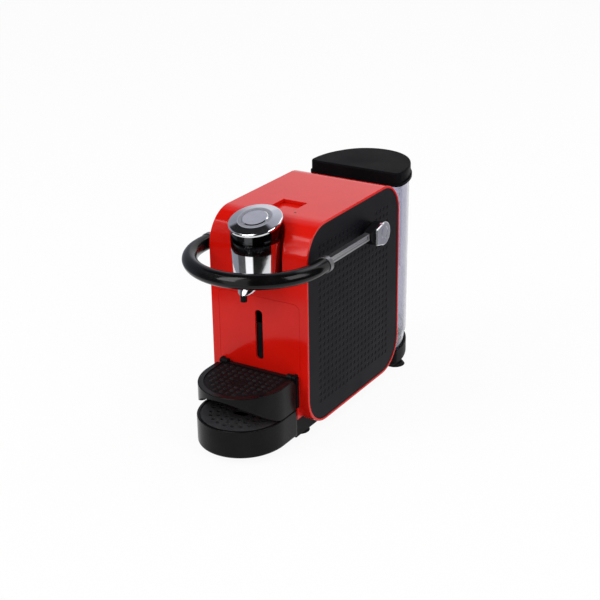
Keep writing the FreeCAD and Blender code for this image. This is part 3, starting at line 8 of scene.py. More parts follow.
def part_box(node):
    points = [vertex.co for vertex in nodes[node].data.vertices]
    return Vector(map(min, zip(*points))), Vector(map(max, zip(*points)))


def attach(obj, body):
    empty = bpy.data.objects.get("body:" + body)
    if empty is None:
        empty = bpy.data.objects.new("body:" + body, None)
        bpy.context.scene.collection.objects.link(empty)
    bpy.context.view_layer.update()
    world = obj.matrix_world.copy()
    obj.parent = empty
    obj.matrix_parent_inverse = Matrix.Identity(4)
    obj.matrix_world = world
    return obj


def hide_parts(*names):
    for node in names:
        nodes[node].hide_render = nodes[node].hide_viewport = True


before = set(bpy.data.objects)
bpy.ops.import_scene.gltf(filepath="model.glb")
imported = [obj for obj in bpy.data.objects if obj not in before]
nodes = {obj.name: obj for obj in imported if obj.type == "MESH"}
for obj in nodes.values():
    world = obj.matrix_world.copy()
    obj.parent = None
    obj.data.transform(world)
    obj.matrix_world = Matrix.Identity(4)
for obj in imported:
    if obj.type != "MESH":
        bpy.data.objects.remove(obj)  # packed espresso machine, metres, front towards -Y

scene = bpy.context.scene
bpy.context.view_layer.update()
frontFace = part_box("main_shell")[0].y
print("frame in place", len(nodes), "nodes")


# camera, solved from the straight edges of the body and the tank
shot = {
    "focalPixels": 1372.19658, "framePixels": 600, "sensor": 36,
    "right": (0.85265987, 0.52226828, -0.01438755),
    "up": (-0.19073881, 0.33680281, 0.92205346),
    "ahead": (-0.48640504, 0.78345371, -0.38679507),
    "place": (0.733947, -1.199181, 0.705184),
}
lens = bpy.data.cameras.new("kitchenShot")
lens.sensor_width = shot["sensor"]
lens.lens = shot["focalPixels"] * shot["sensor"] / shot["framePixels"]
camera = bpy.data.objects.new("kitchenShot", lens)
axes = (shot["right"], shot["up"], tuple(-v for v in shot["ahead"]), shot["place"])
camera.matrix_world = Matrix([[axis[row] for axis in axes] for row in range(3)] + [[0, 0, 0, 1]])
scene.collection.objects.link(camera)
scene.camera = camera
scene.view_settings.view_transform = "Standard"


# finishes: one row for each material slot of the model
finishValues = {
    "red_gloss": {"dark": (0.61, 0.0060, 0.0022), "pale": (0.67, 0.0085, 0.0038), "rough": (0.09, 0.15),
                  "blotch": 14, "grain": 650, "relief": 0.04, "depth": 0.0002, "specular": 0.22},
    "panel_black": {"dark": (0.0066, 0.0066, 0.0092), "pale": (0.0092, 0.0092, 0.0124), "rough": (0.40, 0.54),
                    "blotch": 30, "grain": 2600, "relief": 0.16, "depth": 0.00012, "specular": 0.05},
    "black_gloss": {"dark": (0.0045, 0.0045, 0.005), "pale": (0.0065, 0.0065, 0.0072), "rough": (0.18, 0.28),
                    "blotch": 45, "grain": 900, "relief": 0.05, "depth": 0.00015, "specular": 0.09},
    "black_matte": {"dark": (0.0052, 0.0052, 0.0062), "pale": (0.0080, 0.0080, 0.0094), "rough": (0.38, 0.52),
                    "blotch": 40, "grain": 2200, "relief": 0.14, "depth": 0.00012, "specular": 0.04},
    "grip_black": {"dark": (0.0028, 0.0028, 0.0032), "pale": (0.0042, 0.0042, 0.0048), "rough": (0.10, 0.18),
                   "blotch": 70, "grain": 800, "relief": 0.04, "depth": 0.00015, "specular": 0.19},
    "chrome": {"dark": (0.66, 0.665, 0.69), "pale": (0.74, 0.745, 0.765), "rough": (0.045, 0.10),
               "blotch": 55, "grain": 60, "relief": 0.03, "depth": 0.0002, "metal": 1.0},
    "arm_metal": {"dark": (0.25, 0.25, 0.262), "pale": (0.33, 0.33, 0.342), "rough": (0.24, 0.38),
                  "blotch": 300, "grain": 1400, "stretch": (1, 0.02, 1),  # brushed along the arm
                  "relief": 0.12, "depth": 0.0001, "metal": 1.0},
    "clear_tank": {"dark": (0.63, 0.618, 0.735), "pale": (0.68, 0.668, 0.780), "rough": (0.0, 0.012),
                   "blotch": 22, "grain": 18, "relief": 0.02, "depth": 0.0003, "ior": 1.45, "clear": 1.0,
                   # edge colour: painted rim shade, darker base colour where the tank is seen edge-on
                   "edge": (0.16, 0.165, 0.20), "edgeBlend": 0.25},
    "light_white": {"dark": (0.19, 0.195, 0.225), "pale": (0.24, 0.245, 0.28), "rough": (0.28, 0.42),
                    "blotch": 90, "grain": 1500, "relief": 0.06, "depth": 0.0001, "specular": 0.5},
    "lens_green": {"dark": (0.012, 0.05, 0.02), "pale": (0.02, 0.09, 0.035), "rough": (0.08, 0.16),
                   "blotch": 300, "grain": 1500, "relief": 0.04, "depth": 0.0001, "specular": 0.5},
    "steel": {"dark": (0.42, 0.42, 0.44), "pale": (0.56, 0.56, 0.58), "rough": (0.22, 0.36),
              "blotch": 220, "grain": 1200, "stretch": (0.03, 1, 1),
              "relief": 0.1, "depth": 0.0001, "metal": 1.0},
    "heater_metal": {"dark": (0.36, 0.36, 0.37), "pale": (0.52, 0.52, 0.53), "rough": (0.40, 0.58),
                     "blotch": 120, "grain": 1100, "relief": 0.3, "depth": 0.0002, "metal": 1.0},
    "hose_white": {"dark": (0.58, 0.59, 0.58), "pale": (0.70, 0.71, 0.70), "rough": (0.30, 0.46),
                   "blotch": 80, "grain": 700, "relief": 0.06, "depth": 0.0001, "specular": 0.4},
    "foot_rubber": {"dark": (0.006, 0.006, 0.0065), "pale": (0.012, 0.012, 0.013), "rough": (0.55, 0.78),
                    "blotch": 160, "grain": 2400, "relief": 0.25, "depth": 0.00015, "specular": 0.1},
    "board_green": {"dark": (0.008, 0.085, 0.03), "pale": (0.02, 0.16, 0.06), "rough": (0.28, 0.42),
                    "blotch": 400, "grain": 260, "relief": 0.2, "depth": 0.0002, "specular": 0.5},
}
collarLook = {"dark": (0.17, 0.17, 0.18), "pale": (0.22, 0.22, 0.23), "rough": (0.30, 0.42),
              "blotch": 200, "grain": 1400, "relief": 0.1, "depth": 0.0001, "metal": 1.0}
ownLooks = {  # nodes whose finish differs from the rest of their slot
    "drip_grid": {"dark": (0.040, 0.040, 0.043), "pale": (0.056, 0.056, 0.060), "rough": (0.42, 0.56),
                  "blotch": 60, "grain": 2000, "relief": 0.14, "depth": 0.00012, "specular": 0.12},
    "tank_lid": {"dark": (0.0040, 0.0040, 0.0048), "pale": (0.0060, 0.0060, 0.0070), "rough": (0.34, 0.48),
                 "blotch": 26, "grain": 2400, "relief": 0.12, "depth": 0.00012, "specular": 0.009},
    "head_band": {**finishValues["chrome"], "upper": (0.05, 0.051, 0.055),  # dark ring over a bright one
                  "upperFrom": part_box("head_band")[0].z + 0.0105},
    "handle_collar_left": collarLook,
    "handle_collar_right": collarLook,
}
drift = {  # how the cloudy and the fine noise become colour and roughness
    "cloudDetail": 4.0, "fineDetail": 2.0, "colourSpan": (0.35, 0.65), "roughSpan": (0.3, 0.7),
}


def grainOf(tree, scale, detail, stretch):
    place = tree.nodes.new("ShaderNodeTexCoord")
    turn = tree.nodes.new("ShaderNodeMapping")
    turn.inputs["Scale"].default_value = stretch
    grain = tree.nodes.new("ShaderNodeTexNoise")
    grain.inputs["Scale"].default_value = scale
    grain.inputs["Detail"].default_value = detail
    tree.links.new(place.outputs["Object"], turn.inputs["Vector"])
    tree.links.new(turn.outputs["Vector"], grain.inputs["Vector"])
    return grain.outputs["Fac"]


def upperShare(tree, look):
    place = tree.nodes.new("ShaderNodeTexCoord")
    parts = tree.nodes.new("ShaderNodeSeparateXYZ")
    above = tree.nodes.new("ShaderNodeMath")
    above.operation = "GREATER_THAN"
    above.inputs[1].default_value = look["upperFrom"]
    tree.links.new(place.outputs["Object"], parts.inputs["Vector"])
    tree.links.new(parts.outputs["Z"], above.inputs[0])
    return above.outputs[0]


def paintedRimShadeShare(tree, look):
    facing = tree.nodes.new("ShaderNodeLayerWeight")  # painted rim shade: the base colour darkens where the clear plastic is seen edge-on
    facing.inputs["Blend"].default_value = look["edgeBlend"]
    return facing.outputs["Facing"]


def blendColour(tree, share, colour, other):
    mix = tree.nodes.new("ShaderNodeMix")
    mix.data_type = "RGBA"
    mix.inputs["B"].default_value = (*other, 1)
    tree.links.new(share, mix.inputs["Factor"])
    tree.links.new(colour, mix.inputs["A"])
    return mix.outputs["Result"]


def fillRamp(ramp, stops):
    while len(ramp.elements) < len(stops):
        ramp.elements.new(1.0)
    for element, (position, colour) in zip(ramp.elements, stops):
        element.position = position
        element.color = (*colour, 1)


def makeFinish(name, look):
    finish = bpy.data.materials.new(name)
    finish.use_nodes = True
    tree = finish.node_tree
    shader = tree.nodes["Principled BSDF"]
    shader.inputs["Metallic"].default_value = look.get("metal", 0.0)
    shader.inputs["IOR"].default_value = look.get("ior", 1.5)
    shader.inputs["Specular IOR Level"].default_value = look.get("specular", 0.5)
    shader.inputs["Transmission Weight"].default_value = look.get("clear", 0.0)
    stretch = look.get("stretch", (1, 1, 1))
    cloud = grainOf(tree, look["blotch"], drift["cloudDetail"], stretch)
    fine = grainOf(tree, look["grain"], drift["fineDetail"], stretch)
    ramp = tree.nodes.new("ShaderNodeValToRGB")  # colour drifts a little over the moulding
    fillRamp(ramp.color_ramp, list(zip(drift["colourSpan"], (look["dark"], look["pale"]))))
    tree.links.new(cloud, ramp.inputs["Fac"])
    colour = ramp.outputs["Color"]
    # painted rim shade on the clear tank: darker base colour at grazing view
    if "edge" in look:
        colour = blendColour(tree, paintedRimShadeShare(tree, look), colour, look["edge"])
    if "upper" in look:
        colour = blendColour(tree, upperShare(tree, look), colour, look["upper"])
    tree.links.new(colour, shader.inputs["Base Color"])
    span = tree.nodes.new("ShaderNodeMapRange")  # wiped and handled patches
    span.inputs["From Min"].default_value = drift["roughSpan"][0]
    span.inputs["From Max"].default_value = drift["roughSpan"][1]
    span.inputs["To Min"].default_value = look["rough"][0]
    span.inputs["To Max"].default_value = look["rough"][1]
    tree.links.new(cloud, span.inputs["Value"])
    tree.links.new(span.outputs["Result"], shader.inputs["Roughness"])
    bump = tree.nodes.new("ShaderNodeBump")  # mould grain
    bump.inputs["Strength"].default_value = look["relief"]
    bump.inputs["Distance"].default_value = look["depth"]
    tree.links.new(fine, bump.inputs["Height"])
    tree.links.new(bump.outputs["Normal"], shader.inputs["Normal"])
    return finish


finishes = {name: makeFinish(name + "_finish", look) for name, look in finishValues.items()}
for name, node in nodes.items():
    own = makeFinish(name + "_finish", ownLooks[name]) if name in ownLooks else None
    for slot in node.material_slots:
        slot.material = own or finishes[slot.material.name.split(".")[0]]
print("finishes", len(finishes) + len(ownLooks))


# small tools for new pieces
weldGap = 0.00002


def growMesh(seed, tree, values):
    maker = bpy.data.objects.new("maker", seed)
    scene.collection.objects.link(maker)
    grow = maker.modifiers.new("grow", "NODES")
    grow.node_group = tree
    for item in tree.interface.items_tree:
        if item.item_type == "SOCKET" and item.in_out == "INPUT" and item.name in values:
            grow[item.identifier] = values[item.name]
    depsgraph = bpy.context.evaluated_depsgraph_get()
    mesh = bpy.data.meshes.new_from_object(maker.evaluated_get(depsgraph))
    maker.modifiers.remove(grow)
    bpy.data.objects.remove(maker)
    return mesh


def startTree(name, inputs):
    tree = bpy.data.node_groups.new(name, "GeometryNodeTree")
    tree.interface.new_socket("Geometry", in_out="INPUT", socket_type="NodeSocketGeometry")
    for label, kind in inputs.items():
        tree.interface.new_socket(label, in_out="INPUT", socket_type="NodeSocket" + kind)
    tree.interface.new_socket("Geometry", in_out="OUTPUT", socket_type="NodeSocketGeometry")
    return tree, tree.nodes.new("NodeGroupInput"), tree.nodes.new("NodeGroupOutput")


def endTree(tree, start, end, instances):
    realize = tree.nodes.new("GeometryNodeRealizeInstances")
    weld = tree.nodes.new("GeometryNodeMergeByDistance")
    weld.inputs["Distance"].default_value = weldGap
    paint = tree.nodes.new("GeometryNodeSetMaterial")
    tree.links.new(instances, realize.inputs["Geometry"])
    tree.links.new(realize.outputs["Geometry"], weld.inputs["Geometry"])
    tree.links.new(weld.outputs["Geometry"], paint.inputs["Geometry"])
    tree.links.new(start.outputs["Finish"], paint.inputs["Material"])
    tree.links.new(paint.outputs["Geometry"], end.inputs["Geometry"])


def addPiece(name, mesh, body, slotName):
    piece = bpy.data.objects.new(name, mesh)
    scene.collection.objects.link(piece)
    if not mesh.materials:
        mesh.materials.append(finishes[slotName])
    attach(piece, body)
    return piece


def roundedLoop(low, high, radius, steps):
    corners = ((high[0] - radius, high[1] - radius, 0), (low[0] + radius, high[1] - radius, 90),
               (low[0] + radius, low[1] + radius, 180), (high[0] - radius, low[1] + radius, 270))
    loop = []
    for across, along, start in corners:
        for step in range(steps + 1):
            turn = math.radians(start + 90 * step / steps)
            loop.append((across + radius * math.cos(turn), along + radius * math.sin(turn)))
    return loop


def circleLoop(centre, radius, steps):
    turns = [2 * math.pi * step / steps for step in range(steps)]
    return [(centre[0] + radius * math.cos(t), centre[1] + radius * math.sin(t)) for t in turns]


def addLoop(mesh, loop):
    points = [mesh.verts.new((x, y, 0.0)) for x, y in loop]
    return [mesh.edges.new((points[i - 1], points[i])) for i in range(len(points))]


# side panels: a field of small square dimples inside a smooth border
panel = {
    "columns": 19, "rows": 23, "pitchAcross": 0.0081, "pitchUp": 0.00795,
    "fieldCentre": (0.0985, 0.1255),  # behind the front face, above the table
    "opening": 0.0040, "floor": 0.0029, "lip": 0.0005, "lipDrop": 0.3, "depth": 0.00050,
    "keepClear": 0.0165, "hole": 0.009, "holeSteps": 48,
    "corner": 0.03435, "cornerSteps": 12, "edge": 0.0005, "thick": 0.003,
}


def dimpleCell():
    cell = bmesh.new()
    sizes = ((panel["pitchAcross"], panel["pitchUp"], 0.0),
             (panel["opening"] + panel["lip"], panel["opening"] + panel["lip"], 0.0),
             (panel["opening"], panel["opening"], -panel["lipDrop"] * panel["lip"]),
             (panel["floor"], panel["floor"], -panel["depth"]))
    rings = []
    for width, height, level in sizes:
        corners = ((-1, -1), (1, -1), (1, 1), (-1, 1))
        rings.append([cell.verts.new((x * width / 2, y * height / 2, level)) for x, y in corners])
    for outer, inner in zip(rings, rings[1:]):
        for i in range(4):
            j = (i + 1) % 4
            cell.faces.new((outer[i], outer[j], inner[j], inner[i]))
    cell.faces.new(rings[-1])
    mesh = bpy.data.meshes.new("dimpleCell")
    cell.to_mesh(mesh)
    cell.free()
    return mesh


def dimpleTree():
    tree, start, end = startTree("dimpleField", {
        "Columns": "Int", "Rows": "Int", "Width": "Float", "Height": "Float",
        "Centre": "Vector", "Hub": "Vector", "Keep clear": "Float", "Finish": "Material"})
    grid = tree.nodes.new("GeometryNodeMeshGrid")
    for name, socket in (("Columns", "Vertices X"), ("Rows", "Vertices Y"),
                         ("Width", "Size X"), ("Height", "Size Y")):
        tree.links.new(start.outputs[name], grid.inputs[socket])
    move = tree.nodes.new("GeometryNodeSetPosition")
    tree.links.new(grid.outputs["Mesh"], move.inputs["Geometry"])
    tree.links.new(start.outputs["Centre"], move.inputs["Offset"])
    where = tree.nodes.new("GeometryNodeInputPosition")
    reach = tree.nodes.new("ShaderNodeVectorMath")
    reach.operation = "DISTANCE"
    tree.links.new(where.outputs["Position"], reach.inputs[0])
    tree.links.new(start.outputs["Hub"], reach.inputs[1])
    near = tree.nodes.new("FunctionNodeCompare")
    near.operation = "LESS_THAN"
    tree.links.new(reach.outputs["Value"], near.inputs["A"])
    tree.links.new(start.outputs["Keep clear"], near.inputs["B"])
    drop = tree.nodes.new("GeometryNodeDeleteGeometry")  # none under the handle hub
    tree.links.new(move.outputs["Geometry"], drop.inputs["Geometry"])
    tree.links.new(near.outputs["Result"], drop.inputs["Selection"])
    place = tree.nodes.new("GeometryNodeInstanceOnPoints")
    tree.links.new(drop.outputs["Geometry"], place.inputs["Points"])
    tree.links.new(start.outputs["Geometry"], place.inputs["Instance"])
    endTree(tree, start, end, place.outputs["Instances"])
    return tree


def pointsOf(made):
    return [item for item in made if isinstance(item, bmesh.types.BMVert)]


def edgesOf(made):
    return [item for item in made if isinstance(item, bmesh.types.BMEdge)]


def dimpleField(hub):
    return growMesh(dimpleCell(), dimpleTree(), {
        "Columns": panel["columns"], "Rows": panel["rows"],
        "Width": panel["pitchAcross"] * (panel["columns"] - 1),
        "Height": panel["pitchUp"] * (panel["rows"] - 1),
        "Centre": (frontFace + panel["fieldCentre"][0], panel["fieldCentre"][1], 0.0), "Hub": (*hub, 0.0),
        "Keep clear": panel["keepClear"], "Finish": finishes["panel_black"]})


# turned-over edge of one loop, and the wall behind it
def wallBehind(made, loop, grow, low, high):
    middle = Vector(((low.y + high.y) / 2, (low.z + high.z) / 2, 0))
    wall = bmesh.ops.extrude_edge_only(made, edges=loop)["geom"]
    verts = pointsOf(wall)
    for v in verts:
        out = v.co - middle
        v.co.x += grow * (1 if out.x > 0 else -1) * min(1, abs(out.x) / (high.y - middle.x))
        v.co.y += grow * (1 if out.y > 0 else -1) * min(1, abs(out.y) / (high.z - middle.y))
        v.co.z -= panel["edge"]
    free = [e for e in edgesOf(wall) if e.is_boundary and all(v in verts for v in e.verts)]
    for v in pointsOf(bmesh.ops.extrude_edge_only(made, edges=free)["geom"]):
        v.co.z = -panel["thick"]


def sidePanel(name, node, hubNode, side):
    low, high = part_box(node)
    hubLow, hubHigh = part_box(hubNode)
    hub = ((hubLow.y + hubHigh.y) / 2, (hubLow.z + hubHigh.z) / 2)
    made = bmesh.new()
    made.from_mesh(dimpleField(hub))
    rim = [e for e in made.edges if e.is_boundary]
    edge = panel["edge"]
    outline = addLoop(made, roundedLoop((low.y + edge, low.z + edge), (high.y - edge, high.z - edge),
                                        panel["corner"] - edge, panel["cornerSteps"]))
    hole = addLoop(made, circleLoop(hub, panel["hole"], panel["holeSteps"]))
    bmesh.ops.triangle_fill(made, use_beauty=True, use_dissolve=False, edges=outline + rim + hole)
    wallBehind(made, outline, edge, low, high)
    wallBehind(made, hole, 0.0, low, high)
    rear = [e for e in made.edges if e.is_boundary and e.verts[0].co.z < -0.9 * panel["thick"]]
    bmesh.ops.triangle_fill(made, use_beauty=True, use_dissolve=False, edges=rear)
    face = high.x if side > 0 else low.x
    for v in made.verts:
        v.co = Vector((face + side * v.co.z, v.co.x, v.co.y))
    bmesh.ops.recalc_face_normals(made, faces=made.faces)
    mesh = bpy.data.meshes.new(name)
    made.to_mesh(mesh)
    made.free()
    mesh.materials.clear()
    piece = addPiece(name, mesh, "machine", "panel_black")
    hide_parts(node)


sidePanel("dimpled_panel_right", "side_panel_right", "pivot_bush_right", 1)
sidePanel("dimpled_panel_left", "side_panel_left", "pivot_bush_left", -1)
print("side panels")


# cup shelf mat: rows of round studs about an oval drain
mat = {
    "pitch": 0.0078, "firstRow": 0.6, "margin": 0.0004, "sink": 0.00002,
    "studBase": 0.0060, "studTop": 0.0030, "studHeight": 0.0013, "studSides": 10,
    "look": {"dark": (0.0075, 0.0073, 0.0078), "pale": (0.0120, 0.0117, 0.0124), "rough": (0.26, 0.38),
             "blotch": 120, "grain": 1500, "relief": 0.1, "depth": 0.0001, "specular": 0.08},
    "drainBehind": -0.0405, "drainLength": 0.0150, "drainWidth": 0.0075, "drainSteps": 40,
    "drainRim": 0.0011, "drainRise": 0.0005, "drainSink": 0.0001,
    "probeFrom": 0.01, "probeReach": 0.0101,
}


def studTree():
    tree, start, end = startTree("matStuds", {
        "Stud base": "Float", "Stud top": "Float", "Stud height": "Float", "Stud sides": "Int",
        "Finish": "Material"})
    stud = tree.nodes.new("GeometryNodeMeshCone")
    for name, socket in (("Stud base", "Radius Bottom"), ("Stud top", "Radius Top"),
                         ("Stud height", "Depth"), ("Stud sides", "Vertices")):
        tree.links.new(start.outputs[name], stud.inputs[socket])
    place = tree.nodes.new("GeometryNodeInstanceOnPoints")
    tree.links.new(start.outputs["Geometry"], place.inputs["Points"])
    tree.links.new(stud.outputs["Mesh"], place.inputs["Instance"])
    endTree(tree, start, end, place.outputs["Instances"])
    return tree


def ovalPoint(turn, length, width):
    flat = (length - width) / 2
    across = width / 2 * math.cos(turn)
    return (across + (flat if across > 0 else -flat), width / 2 * math.sin(turn))


# where a whole stud stands on the mat, clear of the drain
def studPoints(low, high, drainY):
    node = nodes["shelf_mat"].data
    surface = BVHTree.FromPolygons([v.co for v in node.vertices], [p.vertices for p in node.polygons])
    down = Vector((0, 0, -1))
    reach = mat["studBase"] / 2 + mat["margin"]
    rows = int((high.y - low.y) / mat["pitch"]) + 2
    columns = int((high.x - low.x) / mat["pitch"]) + 2
    points = []
    for row in range(rows):
        for column in range(-columns, columns):
            x = (column + 0.5) * mat["pitch"]
            y = high.y - (row + mat["firstRow"]) * mat["pitch"]
            corners = [Vector((x + sx * reach, y + sy * reach, high.z + mat["probeFrom"]))
                       for sx in (-1, 1) for sy in (-1, 1)]
            hits = [surface.ray_cast(corner, down, mat["probeReach"])[0] for corner in corners]
            aside = abs(x) > mat["drainLength"] / 2 + reach
            along = abs(y - drainY) > mat["drainWidth"] / 2 + reach
            if (aside or along) and all(hit is not None for hit in hits):
                points.append((x, y, high.z - mat["sink"]))
    return points


def drainRing(drainY, top):
    ring = bmesh.new()
    rim, steps = mat["drainRim"], mat["drainSteps"]
    sections = ((rim, -mat["drainSink"]), (rim * 0.75, mat["drainRise"]),
                (rim * 0.2, mat["drainRise"]), (0.0, -mat["drainSink"]))  # outward, height
    loops = []
    for out, level in sections:
        length, width = mat["drainLength"] + 2 * out, mat["drainWidth"] + 2 * out
        oval = [ovalPoint(2 * math.pi * (step + 0.5) / steps, length, width) for step in range(steps)]
        loops.append([ring.verts.new((x, drainY + y, top + level)) for x, y in oval])
    for outer, inner in zip(loops, loops[1:]):
        for i in range(steps):
            ring.faces.new((outer[i - 1], outer[i], inner[i], inner[i - 1]))
    ring.faces.new(loops[-1])
    bmesh.ops.recalc_face_normals(ring, faces=ring.faces)
    mesh = bpy.data.meshes.new("mat_drain")
    ring.to_mesh(mesh)
    ring.free()
    return mesh


def shelfMat():
    low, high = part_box("shelf_mat")
    drainY = frontFace + mat["drainBehind"]
    points = studPoints(low, high, drainY)
    seed = bpy.data.meshes.new("studPoints")
    seed.from_pydata(points, [], [])
    studs = growMesh(seed, studTree(), {
        "Stud base": mat["studBase"] / 2, "Stud top": mat["studTop"] / 2, "Stud height": mat["studHeight"],
        "Stud sides": mat["studSides"], "Finish": makeFinish("mat_bump_finish", mat["look"])})
    addPiece("mat_studs", studs, "shelf", "black_gloss")
    addPiece("mat_drain", drainRing(drainY, high.z), "shelf", "black_gloss")
    print("shelf mat", len(points), "studs")


shelfMat()


# room: white table, soft light from both sides, and a reflector that only gloss shows
room = {
    "floorHalf": 9.0, "floorGrey": 0.88, "whiteShare": 0.93, "worldLight": 0.62,
    "sky": ((0.0, (0.02, 0.02, 0.022)), (0.655, (0.02, 0.02, 0.022)), (0.685, (0.42, 0.42, 0.48)),
            (0.745, (0.50, 0.50, 0.58)), (0.875, (0.78, 0.80, 0.90)), (1.0, (0.92, 0.94, 1.02))),
    "aim": (0, 0, 0.13),
    "keyPlace": (-1.05, -1.35, 1.55), "keySize": 1.1, "keyWatts": 17.0,
    "sidePlace": (1.55, -0.55, 1.25), "sideSize": 0.9, "sideWatts": 9.0,
    "backPlace": (0.5, 1.2, 1.6), "backSize": 1.0, "backWatts": 6.0,
}


def seenRays(tree):
    path = tree.nodes.new("ShaderNodeLightPath")
    first = tree.nodes.new("ShaderNodeMath")
    first.operation = "MAXIMUM"
    second = tree.nodes.new("ShaderNodeMath")
    second.operation = "MAXIMUM"
    tree.links.new(path.outputs["Is Camera Ray"], first.inputs[0])
    tree.links.new(path.outputs["Is Glossy Ray"], first.inputs[1])
    tree.links.new(first.outputs[0], second.inputs[0])
    tree.links.new(path.outputs["Is Transmission Ray"], second.inputs[1])
    return second.outputs[0]


def blendShader(tree, share, first, second):
    mix = tree.nodes.new("ShaderNodeMixShader")
    tree.links.new(share, mix.inputs["Fac"])
    tree.links.new(first, mix.inputs[1])
    tree.links.new(second, mix.inputs[2])
    return mix.outputs["Shader"]


def barePaint(name):
    paint = bpy.data.materials.new(name)
    paint.use_nodes = True
    paint.node_tree.nodes.remove(paint.node_tree.nodes["Principled BSDF"])
    return paint, paint.node_tree


def layTable():
    half = room["floorHalf"]
    mesh = bpy.data.meshes.new("table")
    mesh.from_pydata([(-half, -half, 0), (half, -half, 0), (half, half, 0), (-half, half, 0)], [],
                     [(0, 1, 2, 3)])
    table = bpy.data.objects.new("table", mesh)
    scene.collection.objects.link(table)
    paint, tree = barePaint("whiteTable")
    matte = tree.nodes.new("ShaderNodeBsdfDiffuse")
    matte.inputs["Color"].default_value = (room["floorGrey"],) * 3 + (1,)
    glow = tree.nodes.new("ShaderNodeEmission")
    glow.inputs["Strength"].default_value = 1.0
    share = tree.nodes.new("ShaderNodeMath")
    share.operation = "MULTIPLY"
    share.inputs[1].default_value = room["whiteShare"]
    tree.links.new(seenRays(tree), share.inputs[0])
    surface = blendShader(tree, share.outputs[0], matte.outputs["BSDF"], glow.outputs["Emission"])
    tree.links.new(surface, tree.nodes["Material Output"].inputs["Surface"])
    mesh.materials.append(paint)


reflector = {
    "radius": 0.45, "height": 0.62, "sides": 96,
    "bands": (  # degrees round from the front, brightness
        (-90, (0.32, 0.34, 0.40)), (-48, (0.30, 0.32, 0.37)), (-42, (0.10, 0.10, 0.11)),
        (-14, (0.12, 0.12, 0.12)), (-11, (1.3, 1.3, 1.3)), (13, (1.3, 1.3, 1.3)),
        (16, (0.012, 0.012, 0.012)), (121, (0.012, 0.012, 0.012)), (124, (1.2, 1.2, 1.2)),
        (138, (1.1, 1.1, 1.1)), (140, (0.32, 0.32, 0.36)), (156, (0.32, 0.32, 0.36)),
        (158, (1.1, 1.1, 1.1)), (186, (1.0, 1.0, 1.0)), (226, (0.82, 0.82, 0.88)),
        (240, (0.36, 0.38, 0.44)), (270, (0.32, 0.34, 0.40))),
    "softBoxes": ((-19, 1, 0.25, 1.0, 7.0), (60, 90, 0.25, 0.60, 4.5)),  # from, to, bottom, top, brightness
    "softBoxGap": 0.01, "softBoxSteps": 8,
}


def showInGloss(name, mesh, paint, glow):
    tree = paint.node_tree
    path = tree.nodes.new("ShaderNodeLightPath")
    clear = tree.nodes.new("ShaderNodeBsdfTransparent")  # bounced light goes on to the room
    surface = blendShader(tree, path.outputs["Diffuse Depth"], glow.outputs["Emission"], clear.outputs["BSDF"])
    tree.links.new(surface, tree.nodes["Material Output"].inputs["Surface"])
    mesh.materials.append(paint)
    wall = bpy.data.objects.new(name, mesh)
    scene.collection.objects.link(wall)
    wall.visible_camera = False
    wall.visible_diffuse = False
    wall.visible_transmission = False
    wall.visible_volume_scatter = False
    wall.visible_shadow = False


def standReflector():
    count = reflector["sides"]
    turns = [2 * math.pi * i / count for i in range(count)]
    ring = [(reflector["radius"] * math.cos(t), reflector["radius"] * math.sin(t)) for t in turns]
    mesh = bpy.data.meshes.new("reflector")
    mesh.from_pydata([(x, y, 0) for x, y in ring] + [(x, y, reflector["height"]) for x, y in ring], [],
                     [(i, (i + 1) % count, count + (i + 1) % count, count + i) for i in range(count)])
    paint, tree = barePaint("reflectorBands")
    place = tree.nodes.new("ShaderNodeTexCoord")
    sweep = tree.nodes.new("ShaderNodeTexGradient")
    sweep.gradient_type = "RADIAL"
    bands = tree.nodes.new("ShaderNodeValToRGB")
    fillRamp(bands.color_ramp, [((turn + 90) / 360, colour) for turn, colour in reflector["bands"]])
    glow = tree.nodes.new("ShaderNodeEmission")
    tree.links.new(place.outputs["Object"], sweep.inputs["Vector"])
    tree.links.new(sweep.outputs["Fac"], bands.inputs["Fac"])
    tree.links.new(bands.outputs["Color"], glow.inputs["Color"])
    showInGloss("reflector", mesh, paint, glow)


def standSoftBoxes():
    reach = reflector["radius"] - reflector["softBoxGap"]
    steps = reflector["softBoxSteps"]
    for number, (start, end, bottom, top, brightness) in enumerate(reflector["softBoxes"]):
        turns = [math.radians(start + (end - start) * i / steps) for i in range(steps + 1)]
        row = [(reach * math.sin(t), -reach * math.cos(t)) for t in turns]
        mesh = bpy.data.meshes.new(f"softBox{number}")
        mesh.from_pydata([(x, y, bottom) for x, y in row] + [(x, y, top) for x, y in row], [],
                         [(i, i + 1, steps + i + 2, steps + i + 1) for i in range(steps)])
        paint, tree = barePaint(f"softBoxGlow{number}")
        glow = tree.nodes.new("ShaderNodeEmission")
        glow.inputs["Strength"].default_value = brightness
        showInGloss(f"softBox{number}", mesh, paint, glow)


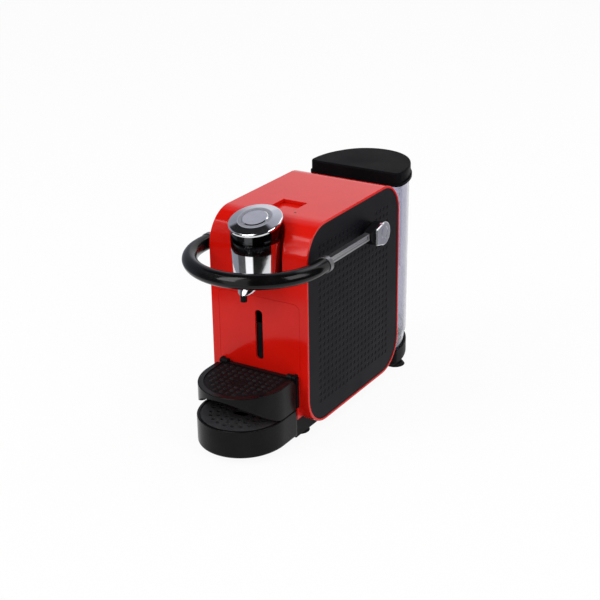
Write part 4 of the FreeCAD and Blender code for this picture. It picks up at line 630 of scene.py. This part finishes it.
# what gloss shows overhead: dark above the front, pale behind the machine
def glossSky(tree):
    sky = tree.nodes.new("ShaderNodeBackground")
    place = tree.nodes.new("ShaderNodeTexCoord")
    parts = tree.nodes.new("ShaderNodeSeparateXYZ")
    rearward = tree.nodes.new("ShaderNodeMapRange")
    rearward.inputs["From Min"].default_value = -1.0
    shades = tree.nodes.new("ShaderNodeValToRGB")
    fillRamp(shades.color_ramp, room["sky"])
    tree.links.new(place.outputs["Generated"], parts.inputs["Vector"])
    tree.links.new(parts.outputs["Y"], rearward.inputs["Value"])
    tree.links.new(rearward.outputs["Result"], shades.inputs["Fac"])
    tree.links.new(shades.outputs["Color"], sky.inputs["Color"])
    return sky.outputs["Background"]


def lightWorld():
    world = bpy.data.worlds.new("softRoom")
    scene.world = world
    world.use_nodes = True
    tree = world.node_tree
    plain = tree.nodes["Background"]
    plain.inputs["Color"].default_value = (1, 1, 1, 1)
    plain.inputs["Strength"].default_value = room["worldLight"]
    white = tree.nodes.new("ShaderNodeBackground")
    white.inputs["Color"].default_value = (1, 1, 1, 1)
    white.inputs["Strength"].default_value = 1.0
    path = tree.nodes.new("ShaderNodeLightPath")
    direct = tree.nodes.new("ShaderNodeMath")  # gloss that no matte surface has bounced yet
    direct.operation = "SUBTRACT"
    direct.use_clamp = True
    tree.links.new(path.outputs["Is Glossy Ray"], direct.inputs[0])
    tree.links.new(path.outputs["Diffuse Depth"], direct.inputs[1])
    seen = blendShader(tree, seenRays(tree), plain.outputs["Background"], white.outputs["Background"])
    over = blendShader(tree, direct.outputs[0], seen, glossSky(tree))
    tree.links.new(over, tree.nodes["World Output"].inputs["Surface"])


def hangLamps():
    aim = Vector(room["aim"])
    for name in ("key", "side", "back"):
        lamp = bpy.data.lights.new(name + "Softbox", "AREA")
        lamp.size = room[name + "Size"]
        lamp.energy = room[name + "Watts"]
        holder = bpy.data.objects.new(name + "Softbox", lamp)
        holder.location = room[name + "Place"]
        holder.rotation_mode = "QUATERNION"
        holder.rotation_quaternion = (aim - holder.location).to_track_quat("-Z", "Y")
        scene.collection.objects.link(holder)


layTable()
standReflector()
standSoftBoxes()
lightWorld()
hangLamps()
print("room lit")
